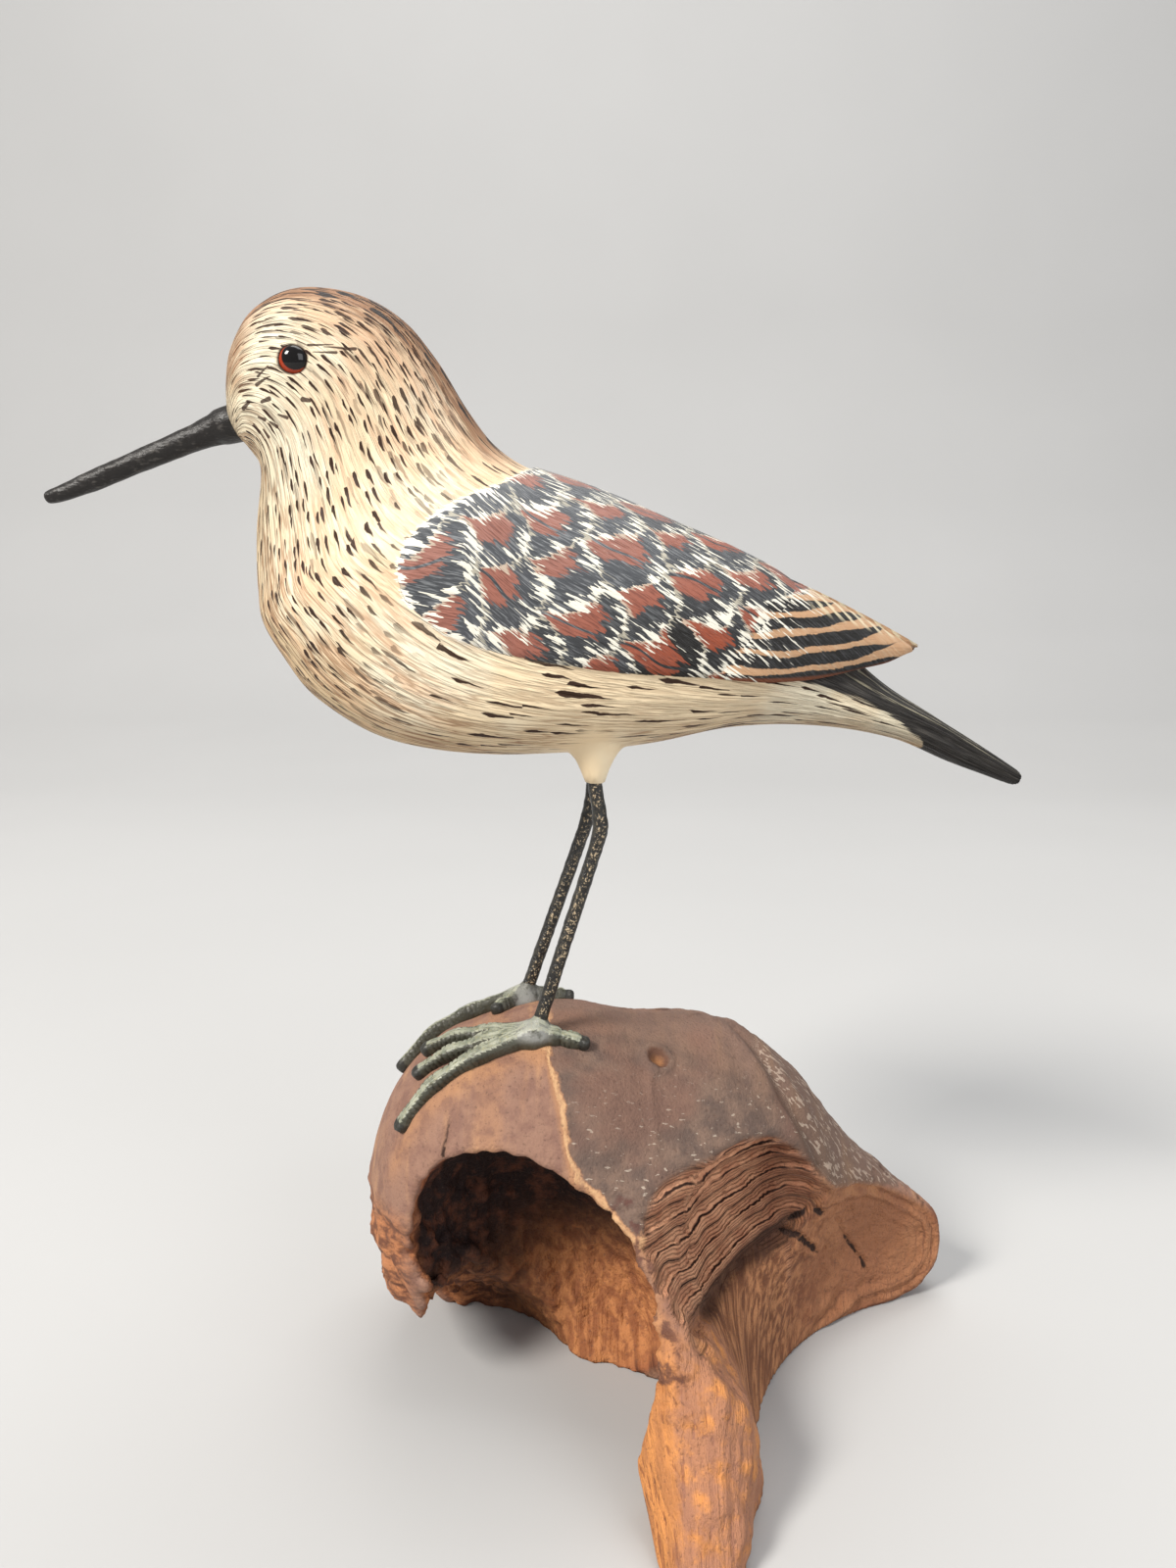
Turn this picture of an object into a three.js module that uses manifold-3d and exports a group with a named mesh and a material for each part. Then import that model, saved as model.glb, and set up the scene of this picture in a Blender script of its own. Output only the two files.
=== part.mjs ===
import * as THREE from "three";
import { mergeVertices } from "three/addons/utils/BufferGeometryUtils.js";
import Module from "manifold-3d";

const wasm = await Module();
wasm.setup();

// A carved and painted shorebird on wire legs, standing on a weathered piece of driftwood root.
// Millimetres, +Z up. The bird faces -X, its left side is -Y, and X = 0 is just above its legs.

// Driving dimensions
const birdLength = 230; // straight from the tip of the bill to the tip of the tail
const standHeight = 64.3; // from the wood under the feet to the belly
const wingStep = 1; // how far the folded wing stands out from the flank
const wingThickness = 3; // of the free wing tips over the tail
const leftWingReach = 0.96; // the left wing tip stops short of the right one
const eyeDiameter = 6; // glass taxidermist's eye
const eyeStandsOut = 1.3; // how far the eye stands out of the cheek
const legDiameter = 3.2; // eighth-inch wire
const legSpread = 22; // between the two legs
const legDepthInBody = 7;
const legDepthInWood = 9;
const kneeDrop = 10.7; // from the thigh down to the bend in the wire
const thighDrop = 4.6; // from the belly line down to where the wire comes out
const thighWall = 0.5; // wood left round the wire at the end of the thigh
const thighRise = 7; // from the belly line up to where the thigh is lost in the flank
const thighRadius = 7.8; // at its top
const thighLean = 4; // how far its top leans in under the belly
const toeDiameter = 4.4;
const toeTipDiameter = 2.9;
const ankleDiameter = 8;
const woodLength = 150; // driftwood from its left flank to the end of its right root
const woodCell = 6.6; // size of the facets on the driftwood
const clearance = 0.3; // between pieces that touch

// One leg each: where the wire bends and where it meets the wood, along X, and its toes as
// pairs of heading (degrees from straight ahead, towards the right side) and length.
const legPlans = [
  {
    name: "left", side: -1, hip: 1.5, knee: 3, heel: -12.5,
    toes: [[-12, 38], [3, 30], [17, 29], [188, 13]],
  },
  {
    name: "right", side: 1, hip: 1.5, knee: 0.5, heel: -16.4,
    toes: [[-54, 11], [-13, 35], [14, 23], [172, 13]],
  },
];

const paint = {
  body: { color: "#c9b294", roughness: 0.6, metalness: 0 },
  bill: { color: "#16130f", roughness: 0.5, metalness: 0 },
  eye: { color: "#0b0807", roughness: 0.08, metalness: 0 },
  leg: { color: "#1c1b17", roughness: 0.4, metalness: 0 },
  foot: { color: "#69705d", roughness: 0.5, metalness: 0 },
  driftwood: { color: "#7c5a45", roughness: 0.85, metalness: 0 },
};

const group = new THREE.Group();

function addPiece(name, geometry, look) {
  const mesh = new THREE.Mesh(geometry, new THREE.MeshStandardMaterial(look));
  mesh.name = name;
  group.add(mesh);
}

// A closed solid from a geometry, ready to be joined and cut.
function solidOf(geometry) {
  const bare = geometry.clone();
  bare.deleteAttribute("normal");
  bare.deleteAttribute("uv");
  const merged = mergeVertices(bare, 1e-4);
  return new wasm.Manifold(new wasm.Mesh({
    numProp: 3,
    vertProperties: new Float32Array(merged.attributes.position.array),
    triVerts: new Uint32Array(merged.index.array),
  }));
}

function geometryOf(solid) {
  const mesh = solid.getMesh();
  const geometry = new THREE.BufferGeometry();
  geometry.setAttribute("position", new THREE.BufferAttribute(mesh.vertProperties, 3));
  geometry.setIndex(new THREE.BufferAttribute(mesh.triVerts, 1));
  geometry.computeVertexNormals();
  return geometry;
}

// A closed skin over a row of rings with equal numbers of points, with a fan over each end.
function skinOver(rings) {
  const sides = rings[0].length;
  const points = rings.flat();
  const faces = [];
  for (let i = 0; i + 1 < rings.length; i += 1) {
    for (let j = 0; j < sides; j += 1) {
      const a = i * sides + j;
      const b = i * sides + ((j + 1) % sides);
      faces.push(a, b, b + sides, a, b + sides, a + sides);
    }
  }
  for (const [start, flip] of [[0, true], [(rings.length - 1) * sides, false]]) {
    const centre = new THREE.Vector3();
    for (let j = 0; j < sides; j += 1) {
      centre.addScaledVector(points[start + j], 1 / sides);
    }
    const middle = points.push(centre) - 1;
    for (let j = 0; j < sides; j += 1) {
      const a = start + j;
      const b = start + ((j + 1) % sides);
      faces.push(...(flip ? [b, a, middle] : [a, b, middle]));
    }
  }
  if (signedVolume(points, faces) < 0) {
    faces.reverse();
  }
  const geometry = new THREE.BufferGeometry().setFromPoints(points);
  geometry.setIndex(faces);
  return geometry;
}

function signedVolume(points, faces) {
  let sum = 0;
  const normal = new THREE.Vector3();
  for (let i = 0; i < faces.length; i += 3) {
    normal.crossVectors(points[faces[i + 1]], points[faces[i + 2]]);
    sum += normal.dot(points[faces[i]]);
  }
  return sum;
}

// Driftwood: one piece of root, worn to a dome, with a hollow under its left side and a
// channel down its front. Its form is a distance field in hundredths of its own length, so
// every coordinate below is a share of woodLength.
const woodUnit = woodLength / 100;

function softUnion(a, b, blend) {
  const overlap = Math.max(blend - Math.abs(a - b), 0) / blend;
  return Math.min(a, b) - (overlap * overlap * blend) / 4;
}

// Distance to an ellipsoid whose long axis may be tilted in the XZ plane.
function boulder(p, centre, radii, tilt = 0) {
  const turn = THREE.MathUtils.degToRad(tilt);
  const dx = p.x - centre[0];
  const dy = p.y - centre[1];
  const dz = p.z - centre[2];
  const x = dx * Math.cos(turn) + dz * Math.sin(turn);
  const z = dz * Math.cos(turn) - dx * Math.sin(turn);
  const near = Math.hypot(x / radii[0], dy / radii[1], z / radii[2]);
  const slope = Math.hypot(x / radii[0] ** 2, dy / radii[1] ** 2, z / radii[2] ** 2);
  return (near * (near - 1)) / Math.max(slope, 1e-9);
}

// Distance to a round limb that runs from one ball to another.
function limb(p, start, end, startRadius, endRadius) {
  const axis = new THREE.Vector3(end[0] - start[0], end[1] - start[1], end[2] - start[2]);
  const from = new THREE.Vector3(p.x - start[0], p.y - start[1], p.z - start[2]);
  const share = THREE.MathUtils.clamp(from.dot(axis) / axis.lengthSq(), 0, 1);
  const radius = THREE.MathUtils.lerp(startRadius, endRadius, share);
  return from.addScaledVector(axis, -share).length() - radius;
}

function uncarvedWood(p) {
  const dome = boulder(p, [-5.3, 1.3, 25.3], [28.6, 25.3, 32.9]);
  const leftShoulder = boulder(p, [-18, 1, 30], [15.6, 21, 23]);
  const hump = boulder(p, [14.7, 6.7, 24.5], [24, 24, 30]);
  const rightRoot = limb(p, [25.3, 10.7, 28], [53.3, 13.3, 10], 15.3, 10);
  const frontRoot = limb(p, [14.7, -17.3, 22.7], [14.8, -49.3, -1.3], 13.3, 5);
  const flare = limb(p, [41.3, 13.3, 5.3], [22.7, -13.3, 1.3], 9, 7);
  const apron = limb(p, [19, -33, 0], [31, -9, 2], 5, 8);
  const leftLeg = limb(p, [-22.7, 8, 29.3], [-20, 16, 5.3], 10.7, 7.5);
  const back = boulder(p, [5.3, 20, 14.7], [30.7, 12, 20]);
  let wood = softUnion(dome, leftShoulder, 6.7);
  wood = softUnion(wood, hump, 6.7);
  wood = softUnion(wood, rightRoot, 10.7);
  wood = softUnion(wood, frontRoot, 9.3);
  wood = softUnion(wood, flare, 8);
  wood = softUnion(wood, leftLeg, 8);
  wood = softUnion(wood, back, 10.7);
  return softUnion(wood, apron, 8);
}

function hollow(p) {
  const arch = boulder(p, [-5.5, -20, 19.3], [27, 22.7, 17], -52);
  const mouth = boulder(p, [-24, -10.7, -1.3], [22, 22, 16]);
  return softUnion(arch, mouth, 5.3);
}

function channel(p) {
  const gully = limb(p, [29, -17, 28.8], [29, -48, 34], 14.4, 19);
  const slope = boulder(p, [19.3, -29.3, 37.6], [13.6, 12.4, 12.6]);
  const bay = limb(p, [37, -20, 19], [50, -24, 14], 14.5, 20);
  const skirt = boulder(p, [66.5, -29.1, 10], [43, 43, 39.5]);
  return softUnion(softUnion(gully, slope, 7), softUnion(bay, skirt, 8), 8);
}

// Distance from a point in millimetres to a field's surface, negative inside.
const distanceTo = (field, point) => field(point.clone().divideScalar(woodUnit)) * woodUnit;

function fieldNormal(field, point) {
  const step = 0.2;
  const slope = [0, 1, 2].map((axis) => {
    const ahead = point.clone().setComponent(axis, point.getComponent(axis) + step);
    const behind = point.clone().setComponent(axis, point.getComponent(axis) - step);
    return distanceTo(field, ahead) - distanceTo(field, behind);
  });
  return new THREE.Vector3(...slope).normalize();
}

// The point of the driftwood's upper surface over a place in plan.
function woodTop(x, y) {
  const point = new THREE.Vector3(x, y, woodLength);
  for (let i = 0; i < 80; i += 1) {
    point.z -= 0.8 * distanceTo(uncarvedWood, point);
  }
  return point;
}

// A closed solid of a distance field inside a box of shares: one point in each cell that the
// surface crosses, drawn onto the surface, and one square across each edge between such cells.
function fieldSolid(field, lowShares, highShares) {
  const low = new THREE.Vector3(...lowShares).multiplyScalar(woodUnit).subScalar(woodCell);
  const high = new THREE.Vector3(...highShares).multiplyScalar(woodUnit).addScalar(woodCell);
  const counts = high.clone().sub(low).divideScalar(woodCell).ceil();
  const place = (i, j, k) => new THREE.Vector3(i, j, k).multiplyScalar(woodCell).add(low);
  const indexOf = (i, j, k) => (k * (counts.y + 1) + j) * (counts.x + 1) + i;
  const values = new Float64Array((counts.x + 1) * (counts.y + 1) * (counts.z + 1));
  for (let k = 0; k <= counts.z; k += 1) {
    for (let j = 0; j <= counts.y; j += 1) {
      for (let i = 0; i <= counts.x; i += 1) {
        values[indexOf(i, j, k)] = distanceTo(field, place(i, j, k));
      }
    }
  }
  fillPinches(values, counts, indexOf);
  const corners = [0, 1, 2, 3, 4, 5, 6, 7].map((c) => [c & 1, (c >> 1) & 1, (c >> 2) & 1]);
  const edges = corners.flatMap((_, m) => [1, 2, 4].filter((bit) => !(m & bit)).map((bit) => [m, m | bit]));
  const points = [];
  const pointIn = new Map();
  for (let k = 0; k < counts.z; k += 1) {
    for (let j = 0; j < counts.y; j += 1) {
      for (let i = 0; i < counts.x; i += 1) {
        const sum = new THREE.Vector3();
        let crossings = 0;
        for (const edge of edges) {
          const [from, to] = edge.map((m) => {
            const [a, b, c] = corners[m];
            return { value: values[indexOf(i + a, j + b, k + c)], point: place(i + a, j + b, k + c) };
          });
          if (from.value < 0 !== to.value < 0) {
            sum.add(from.point.lerp(to.point, from.value / (from.value - to.value)));
            crossings += 1;
          }
        }
        if (crossings > 0) {
          const point = sum.divideScalar(crossings);
          point.addScaledVector(fieldNormal(field, point), -distanceTo(field, point));
          pointIn.set(indexOf(i, j, k), points.push(point) - 1);
        }
      }
    }
  }
  const faces = [];
  for (let k = 1; k < counts.z; k += 1) {
    for (let j = 1; j < counts.y; j += 1) {
      for (let i = 1; i < counts.x; i += 1) {
        const inside = values[indexOf(i, j, k)] < 0;
        const squares = [
          [[i + 1, j, k], [[i, j - 1, k - 1], [i, j, k - 1], [i, j, k], [i, j - 1, k]]],
          [[i, j + 1, k], [[i - 1, j, k - 1], [i - 1, j, k], [i, j, k], [i, j, k - 1]]],
          [[i, j, k + 1], [[i - 1, j - 1, k], [i, j - 1, k], [i, j, k], [i - 1, j, k]]],
        ];
        for (const [neighbour, cells] of squares) {
          if (inside !== values[indexOf(...neighbour)] < 0) {
            const [a, b, c, d] = cells.map((cell) => pointIn.get(indexOf(...cell)));
            faces.push(...(inside ? [a, b, c, a, c, d] : [a, c, b, a, d, c]));
          }
        }
      }
    }
  }
  const geometry = new THREE.BufferGeometry().setFromPoints(points);
  geometry.setIndex(faces);
  return solidOf(geometry);
}

// Where two inside corners of a grid square touch only across it, its other two corners are
// taken inside as well, so that the skin never meets itself along an edge.
function fillPinches(values, counts, indexOf) {
  const squares = [[[1, 0, 0], [0, 1, 0]], [[1, 0, 0], [0, 0, 1]], [[0, 1, 0], [0, 0, 1]]];
  let filled = true;
  while (filled) {
    filled = false;
    for (let k = 0; k < counts.z; k += 1) {
      for (let j = 0; j < counts.y; j += 1) {
        for (let i = 0; i < counts.x; i += 1) {
          for (const [u, v] of squares) {
            const ring = [[0, 0], [1, 0], [1, 1], [0, 1]].map(([a, b]) => (
              indexOf(i + a * u[0] + b * v[0], j + a * u[1] + b * v[1], k + a * u[2] + b * v[2])));
            const inside = ring.map((n) => values[n] < 0);
            if (inside[0] === inside[2] && inside[1] === inside[3] && inside[0] !== inside[1]) {
              ring.filter((n) => values[n] >= 0).forEach((n) => {
                values[n] = -0.01 * woodCell;
              });
              filled = true;
            }
          }
        }
      }
    }
  }
}

function driftwoodSolid() {
  const below = new THREE.BoxGeometry(4 * woodLength, 4 * woodLength, woodLength);
  below.translate(0, 0, -woodLength / 2);
  return fieldSolid(uncarvedWood, [-42, -62, -20], [70, 42, 64])
    .subtract(fieldSolid(hollow, [-50, -50, -28], [26, 20, 50]))
    .subtract(fieldSolid(channel, [-4, -80, -34], [114, 20, 60]))
    .subtract(solidOf(below));
}

// The bird's own frame: origin on the belly line over the legs, coordinates in hundredths of
// the bird's length.
const birdUnit = birdLength / 100;
const heels = legPlans.map((leg) => woodTop(leg.heel, (leg.side * legSpread) / 2));
const bellyHeight = (heels[0].z + heels[1].z) / 2 + standHeight;

// Stations from the root of the bill to the end of the tail. Each cut through the body runs
// from a point of the back to a point of the belly line.
// [back x, back z, belly x, belly z, half width, squareness, height of the wing's edge up the cut]
const stations = [
  [-34.6, 34.1, -33.3, 30.6, 2.3, 2, 1],
  [-34.2, 37.0, -32.9, 30.2, 3.8, 2, 1],
  [-33.2, 40.2, -32.4, 29.6, 5.3, 2, 1],
  [-31.4, 42.7, -32.1, 29.2, 6.2, 2, 1],
  [-28.6, 44.3, -31.6, 28.5, 6.7, 2, 1],
  [-25.2, 44.7, -31.4, 27.6, 6.9, 2, 1],
  [-21.3, 43.9, -31.5, 26.3, 6.9, 2, 1],
  [-17.6, 41.8, -31.8, 24.7, 6.8, 2, 1],
  [-14.6, 38.3, -32.2, 22.3, 6.8, 2, 1],
  [-11.8, 33.8, -32.4, 19.2, 7.3, 2, 1],
  [-9.0, 30.2, -32.3, 16.4, 8.6, 2.1, 1],
  [-5.7, 28.0, -31.9, 13.4, 10.2, 2.2, 0.564],
  [-1.4, 26.6, -30.2, 10.3, 11.3, 2.2, 0.428],
  [3.4, 24.8, -26.9, 6.0, 11.8, 2.2, 0.386],
  [8.6, 22.6, -20.9, 2.2, 12.0, 2.2, 0.411],
  [14.0, 20.3, -12.8, 0.5, 11.8, 2.2, 0.441],
  [18.9, 17.7, -3.6, 0.4, 10.9, 2.2, 0.46],
  [22.5, 14.5, 5.4, 1.3, 9.5, 2.2, 0.503],
  [25.4, 10.8, 14.3, 3.1, 7.8, 2.3, 0.687],
  [29.4, 7.2, 22.7, 3.2, 6.3, 2.5, 1],
  [34.5, 4.0, 30.1, 2.0, 5.2, 2.8, 1],
  [39.0, 1.2, 36.2, -0.5, 4.5, 3, 1],
  [42.6, -1.2, 42.0, -2.6, 4.1, 3, 1],
];
const wingStart = 11; // station at the wing's front border
const lastStation = stations.length - 1;
const curveOf = (a, b) => new THREE.SplineCurve(stations.map((row) => new THREE.Vector2(row[a], row[b])));
const backCurve = curveOf(0, 1);
const bellyCurve = curveOf(2, 3);
const girthCurve = curveOf(4, 5);

function cutAt(station) {
  const share = station / lastStation;
  const girth = girthCurve.getPoint(share);
  const before = Math.min(Math.floor(station), lastStation - 1);
  const edge = THREE.MathUtils.lerp(stations[before][6], stations[before + 1][6], station - before);
  return {
    back: backCurve.getPoint(share),
    belly: bellyCurve.getPoint(share),
    halfWidth: girth.x,
    squareness: girth.y,
    wingEdge: station > wingStart ? edge : 1,
  };
}

const birdPoint = (x, y, z) => new THREE.Vector3(x * birdUnit, y * birdUnit, bellyHeight + z * birdUnit);

// A point of the body's skin: angle -90 is on the belly line, 90 on the back.
function bodyPoint(cut, degrees, side, proud) {
  const angle = THREE.MathUtils.degToRad(degrees);
  const power = 2 / cut.squareness;
  const rise = 0.5 + (0.5 * Math.sign(angle) * Math.abs(Math.sin(angle)) ** power);
  const middle = cut.belly.clone().lerp(cut.back, rise);
  const reach = cut.halfWidth * Math.abs(Math.cos(angle)) ** power;
  const point = birdPoint(middle.x, side * reach, middle.y);
  point.y += side * proud * Math.cos(angle);
  return point;
}

// One ring of the body: the flank below the wing's edge, and the wing above it, a step proud.
function bodyRing(station) {
  const cut = cutAt(station);
  const hasWing = cut.wingEdge < 0.95;
  const lift = 2 * (hasWing ? cut.wingEdge : 0.5) - 1;
  const sine = Math.sign(lift) * Math.abs(lift) ** (cut.squareness / 2);
  const edge = THREE.MathUtils.radToDeg(Math.asin(sine));
  const proud = hasWing ? wingStep : 0;
  const step = 3;
  const sideAngles = [];
  const flankParts = 7;
  const wingParts = 6;
  for (let i = 0; i <= flankParts; i += 1) {
    sideAngles.push([THREE.MathUtils.lerp(-90, edge, i / flankParts), 0]);
  }
  for (let i = 0; i <= wingParts; i += 1) {
    sideAngles.push([THREE.MathUtils.lerp(edge + step, 90, i / wingParts), proud]);
  }
  const right = sideAngles.map(([angle, out]) => bodyPoint(cut, angle, 1, out));
  const left = sideAngles.slice(1, -1).reverse().map(([angle, out]) => bodyPoint(cut, angle, -1, out));
  return [...right, ...left];
}

// Half the width of the body at a place on its side, in hundredths of the bird's length.
function halfWidthAt(x, z) {
  const place = new THREE.Vector2(x, z);
  const lean = (station) => {
    const cut = cutAt(station);
    return place.clone().sub(cut.belly).cross(cut.back.clone().sub(cut.belly));
  };
  let low = 1;
  let high = lastStation;
  for (let i = 0; i < 40; i += 1) {
    const middle = (low + high) / 2;
    if (lean(middle) > 0 === lean(low) > 0) {
      low = middle;
    } else {
      high = middle;
    }
  }
  const cut = cutAt(low);
  const rise = place.distanceTo(cut.belly) / cut.back.distanceTo(cut.belly);
  const level = Math.min(Math.abs(2 * rise - 1), 1);
  return cut.halfWidth * (1 - level ** cut.squareness) ** (1 / cut.squareness);
}

// A folded wing's free end, as a curved plate that leans in to the middle of the back.
// [x, top edge z, lower edge z, how far out the lower edge is]
const wingPlan = [
  [10.4, 20.6, 8.6, 10.6],
  [15.4, 19.5, 8.1, 10.4],
  [19.4, 17.8, 8.1, 9.3],
  [22.6, 16.4, 8.4, 8.1],
  [26.1, 14.7, 9.0, 6.2],
  [29.4, 13.0, 9.5, 4.2],
  [31.6, 11.8, 10.2, 2.7],
  [32.8, 11.1, 10.5, 1.6],
];

function foldedWing(side, reach) {
  const startX = wingPlan[0][0];
  const arcParts = 5;
  const rings = wingPlan.map(([x, top, low, out]) => {
    const at = startX + (x - startX) * reach;
    const plate = Math.min(wingThickness / birdUnit, 0.45 * (top - low));
    const arc = (inset) => Array.from({ length: arcParts + 1 }, (_, i) => {
      const angle = (i / arcParts) * (Math.PI / 2);
      const rise = (top - low - inset) * Math.cos(angle) ** 0.9;
      const reachOut = (out - inset) * Math.sin(angle) ** 0.9 - 0.1 * (1 - i / arcParts);
      return birdPoint(at, side * reachOut, low + rise);
    });
    return [...arc(0), ...arc(plate).reverse()];
  });
  return solidOf(skinOver(rings));
}

// Legs: one wire each, from a blind hole in the thigh, bent at the knee, through the foot and
// into a blind hole in the driftwood.
function legCurve(leg, index, extra) {
  const y = (leg.side * legSpread) / 2;
  const hip = new THREE.Vector3(leg.hip, y, bellyHeight - thighDrop);
  const knee = new THREE.Vector3(leg.knee, y, hip.z - kneeDrop);
  const heel = heels[index];
  const shin = heel.clone().sub(knee).normalize();
  const thigh = hip.clone().sub(knee).normalize();
  const bend = legDiameter * 0.8;
  return new THREE.CatmullRomCurve3([
    hip.clone().addScaledVector(thigh, legDepthInBody + extra),
    hip,
    knee.clone().addScaledVector(thigh, bend),
    knee.clone().addScaledVector(shin, bend),
    knee.clone().lerp(heel, 0.5),
    heel,
    heel.clone().addScaledVector(shin, legDepthInWood + extra),
  ], false, "catmullrom", 0.15);
}

function legTube(leg, index, radius, extra) {
  const sides = 8;
  const round = Array.from({ length: sides }, (_, i) => {
    const angle = (i / sides) * 2 * Math.PI;
    return new THREE.Vector2(radius * Math.cos(angle), radius * Math.sin(angle));
  });
  return new THREE.ExtrudeGeometry(new THREE.Shape(round), {
    steps: 12,
    bevelEnabled: false,
    extrudePath: legCurve(leg, index, extra),
  });
}

const legHole = (leg, index) => solidOf(legTube(leg, index, legDiameter / 2 + clearance, clearance));

// The thigh: a cone of wood that swells out of the belly round the wire.
function thighSolid(leg) {
  const endRadius = legDiameter / 2 + clearance + thighWall;
  const height = thighDrop + thighRise;
  const flank = [[0, 0], [0.25, 0.16], [0.55, 0.5], [1, 1]].map(([up, swell]) => (
    new THREE.Vector2(THREE.MathUtils.lerp(endRadius, thighRadius, swell), up * height)));
  const profile = [
    new THREE.Vector2(0, 0),
    ...new THREE.SplineCurve(flank).getPoints(6),
    new THREE.Vector2(0, height),
  ];
  const cone = new THREE.LatheGeometry(profile, 16);
  cone.rotateX(Math.PI / 2);
  const place = cone.attributes.position;
  for (let i = 0; i < place.count; i += 1) {
    place.setY(i, place.getY(i) - leg.side * thighLean * (place.getZ(i) / height) ** 2);
  }
  cone.translate(leg.hip, (leg.side * legSpread) / 2, bellyHeight - thighDrop);
  return solidOf(cone);
}

// Glass eyes, each in a round socket in the cheek.
const eyePlace = [-26.7, 37];

function eyeBall(side, radius) {
  const ball = new THREE.SphereGeometry(radius, 12, 8);
  const out = halfWidthAt(...eyePlace) * birdUnit + eyeStandsOut - eyeDiameter / 2;
  const centre = birdPoint(eyePlace[0], 0, eyePlace[1]);
  ball.rotateX(Math.PI / 2);
  ball.translate(centre.x, side * out, centre.z);
  return ball;
}

function bodySolid() {
  const spread = (from, to, parts) => (
    Array.from({ length: parts + 1 }, (_, i) => THREE.MathUtils.lerp(from, to, i / parts)));
  const cuts = [...spread(0, wingStart, 20), ...spread(wingStart + 0.1, lastStation, 18)];
  let body = solidOf(skinOver(cuts.map(bodyRing)));
  body = body.add(foldedWing(-1, leftWingReach)).add(foldedWing(1, 1));
  for (const leg of legPlans) {
    body = body.add(thighSolid(leg));
  }
  legPlans.forEach((leg, index) => {
    body = body.subtract(legHole(leg, index));
  });
  for (const side of [-1, 1]) {
    body = body.subtract(solidOf(eyeBall(side, eyeDiameter / 2 + clearance)));
  }
  return body;
}

// The bill: long, slightly drooping, blunt at the tip, its root against the face.
// [x, z, half height, half width]
const billPlan = [
  [-35.2, 32.1, 1.75, 1.75],
  [-36.3, 31.7, 1.45, 1.45],
  [-38.6, 30.8, 1.22, 1.2],
  [-43.2, 29.0, 1.08, 1.05],
  [-47.9, 27.1, 0.98, 0.95],
  [-51.0, 25.9, 0.8, 0.8],
  [-52.6, 25.4, 0.62, 0.6],
  [-52.9, 25.3, 0.25, 0.25],
];

function billGeometry() {
  const sides = 12;
  const lean = Math.atan2(billPlan[0][1] - billPlan[4][1], billPlan[0][0] - billPlan[4][0]);
  const face = cutAt(0);
  const rootMiddle = face.belly.clone().lerp(face.back, 0.5);
  const rootAxis = face.back.clone().sub(face.belly).normalize();
  const forward = new THREE.Vector2(-rootAxis.y, rootAxis.x);
  const gap = clearance / birdUnit;
  const ring = (centre, up, halfHeight, halfWidth) => Array.from({ length: sides }, (_, i) => {
    const angle = (i / sides) * 2 * Math.PI;
    const middle = centre.clone().addScaledVector(up, halfHeight * Math.sin(angle));
    return birdPoint(middle.x, halfWidth * Math.cos(angle), middle.y);
  });
  const tilted = new THREE.Vector2(-Math.sin(lean), Math.cos(lean));
  const halfRoot = 0.98 * face.back.distanceTo(face.belly) * 0.5;
  const root = rootMiddle.clone().addScaledVector(forward, gap);
  const rings = [ring(root, rootAxis, halfRoot, face.halfWidth)];
  for (const [x, z, halfHeight, halfWidth] of billPlan) {
    rings.push(ring(new THREE.Vector2(x, z), tilted, halfHeight, halfWidth));
  }
  return skinOver(rings);
}

// A foot: three toes ahead and a short one behind, moulded onto the driftwood round the wire.
function toeSolid(heel, headingDegrees, length) {
  const heading = THREE.MathUtils.degToRad(headingDegrees);
  const across = new THREE.Vector3(Math.sin(heading), Math.cos(heading), 0);
  const parts = Math.max(3, Math.round(length / 5));
  const track = [heel.clone()];
  let plan = 0;
  for (let i = 1; i <= parts; i += 1) {
    const from = track[track.length - 1];
    let next = from;
    while (next.distanceTo(from) < length / parts) {
      plan += 0.25;
      next = woodTop(heel.x - plan * Math.cos(heading), heel.y + plan * Math.sin(heading));
    }
    track.push(next);
  }
  const rings = track.flatMap((point, i) => {
    const share = i / parts;
    const radius = THREE.MathUtils.lerp(toeDiameter, toeTipDiameter, share) / 2;
    const end = i === 0 || i === parts;
    return end ? [toeRing(point, across, radius * 0.5)] : [toeRing(point, across, radius)];
  });
  return solidOf(skinOver(rings));
}

// A ring across a toe, flattened underneath where it meets the wood.
function toeRing(point, across, radius) {
  const sides = 8;
  const up = fieldNormal(uncarvedWood, point);
  const level = across.clone().addScaledVector(up, -across.dot(up)).normalize();
  const centre = point.clone().addScaledVector(up, radius * 0.7 + clearance);
  return Array.from({ length: sides }, (_, i) => {
    const angle = ((i + 0.5) / sides) * 2 * Math.PI;
    const place = centre.clone().addScaledVector(level, radius * Math.cos(angle));
    place.addScaledVector(up, radius * Math.sin(angle));
    return liftedOffWood(place);
  });
}

function liftedOffWood(point) {
  const depth = clearance * 1.2 - distanceTo(uncarvedWood, point);
  return depth > 0 ? point.addScaledVector(fieldNormal(uncarvedWood, point), depth) : point;
}

function ankleSolid(heel) {
  const ball = new THREE.SphereGeometry(ankleDiameter / 2, 10, 6);
  ball.rotateX(Math.PI / 2);
  ball.scale(1, 1, 0.7);
  ball.translate(heel.x, heel.y, heel.z + 0.2 * ankleDiameter);
  const place = ball.attributes.position;
  for (let i = 0; i < place.count; i += 1) {
    const lifted = liftedOffWood(new THREE.Vector3().fromBufferAttribute(place, i));
    place.setXYZ(i, lifted.x, lifted.y, lifted.z);
  }
  return solidOf(ball);
}

function footSolid(leg, index) {
  const heel = heels[index];
  let foot = ankleSolid(heel);
  for (const [heading, length] of leg.toes) {
    foot = foot.add(toeSolid(heel, heading, length));
  }
  return foot.subtract(legHole(leg, index));
}

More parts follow.
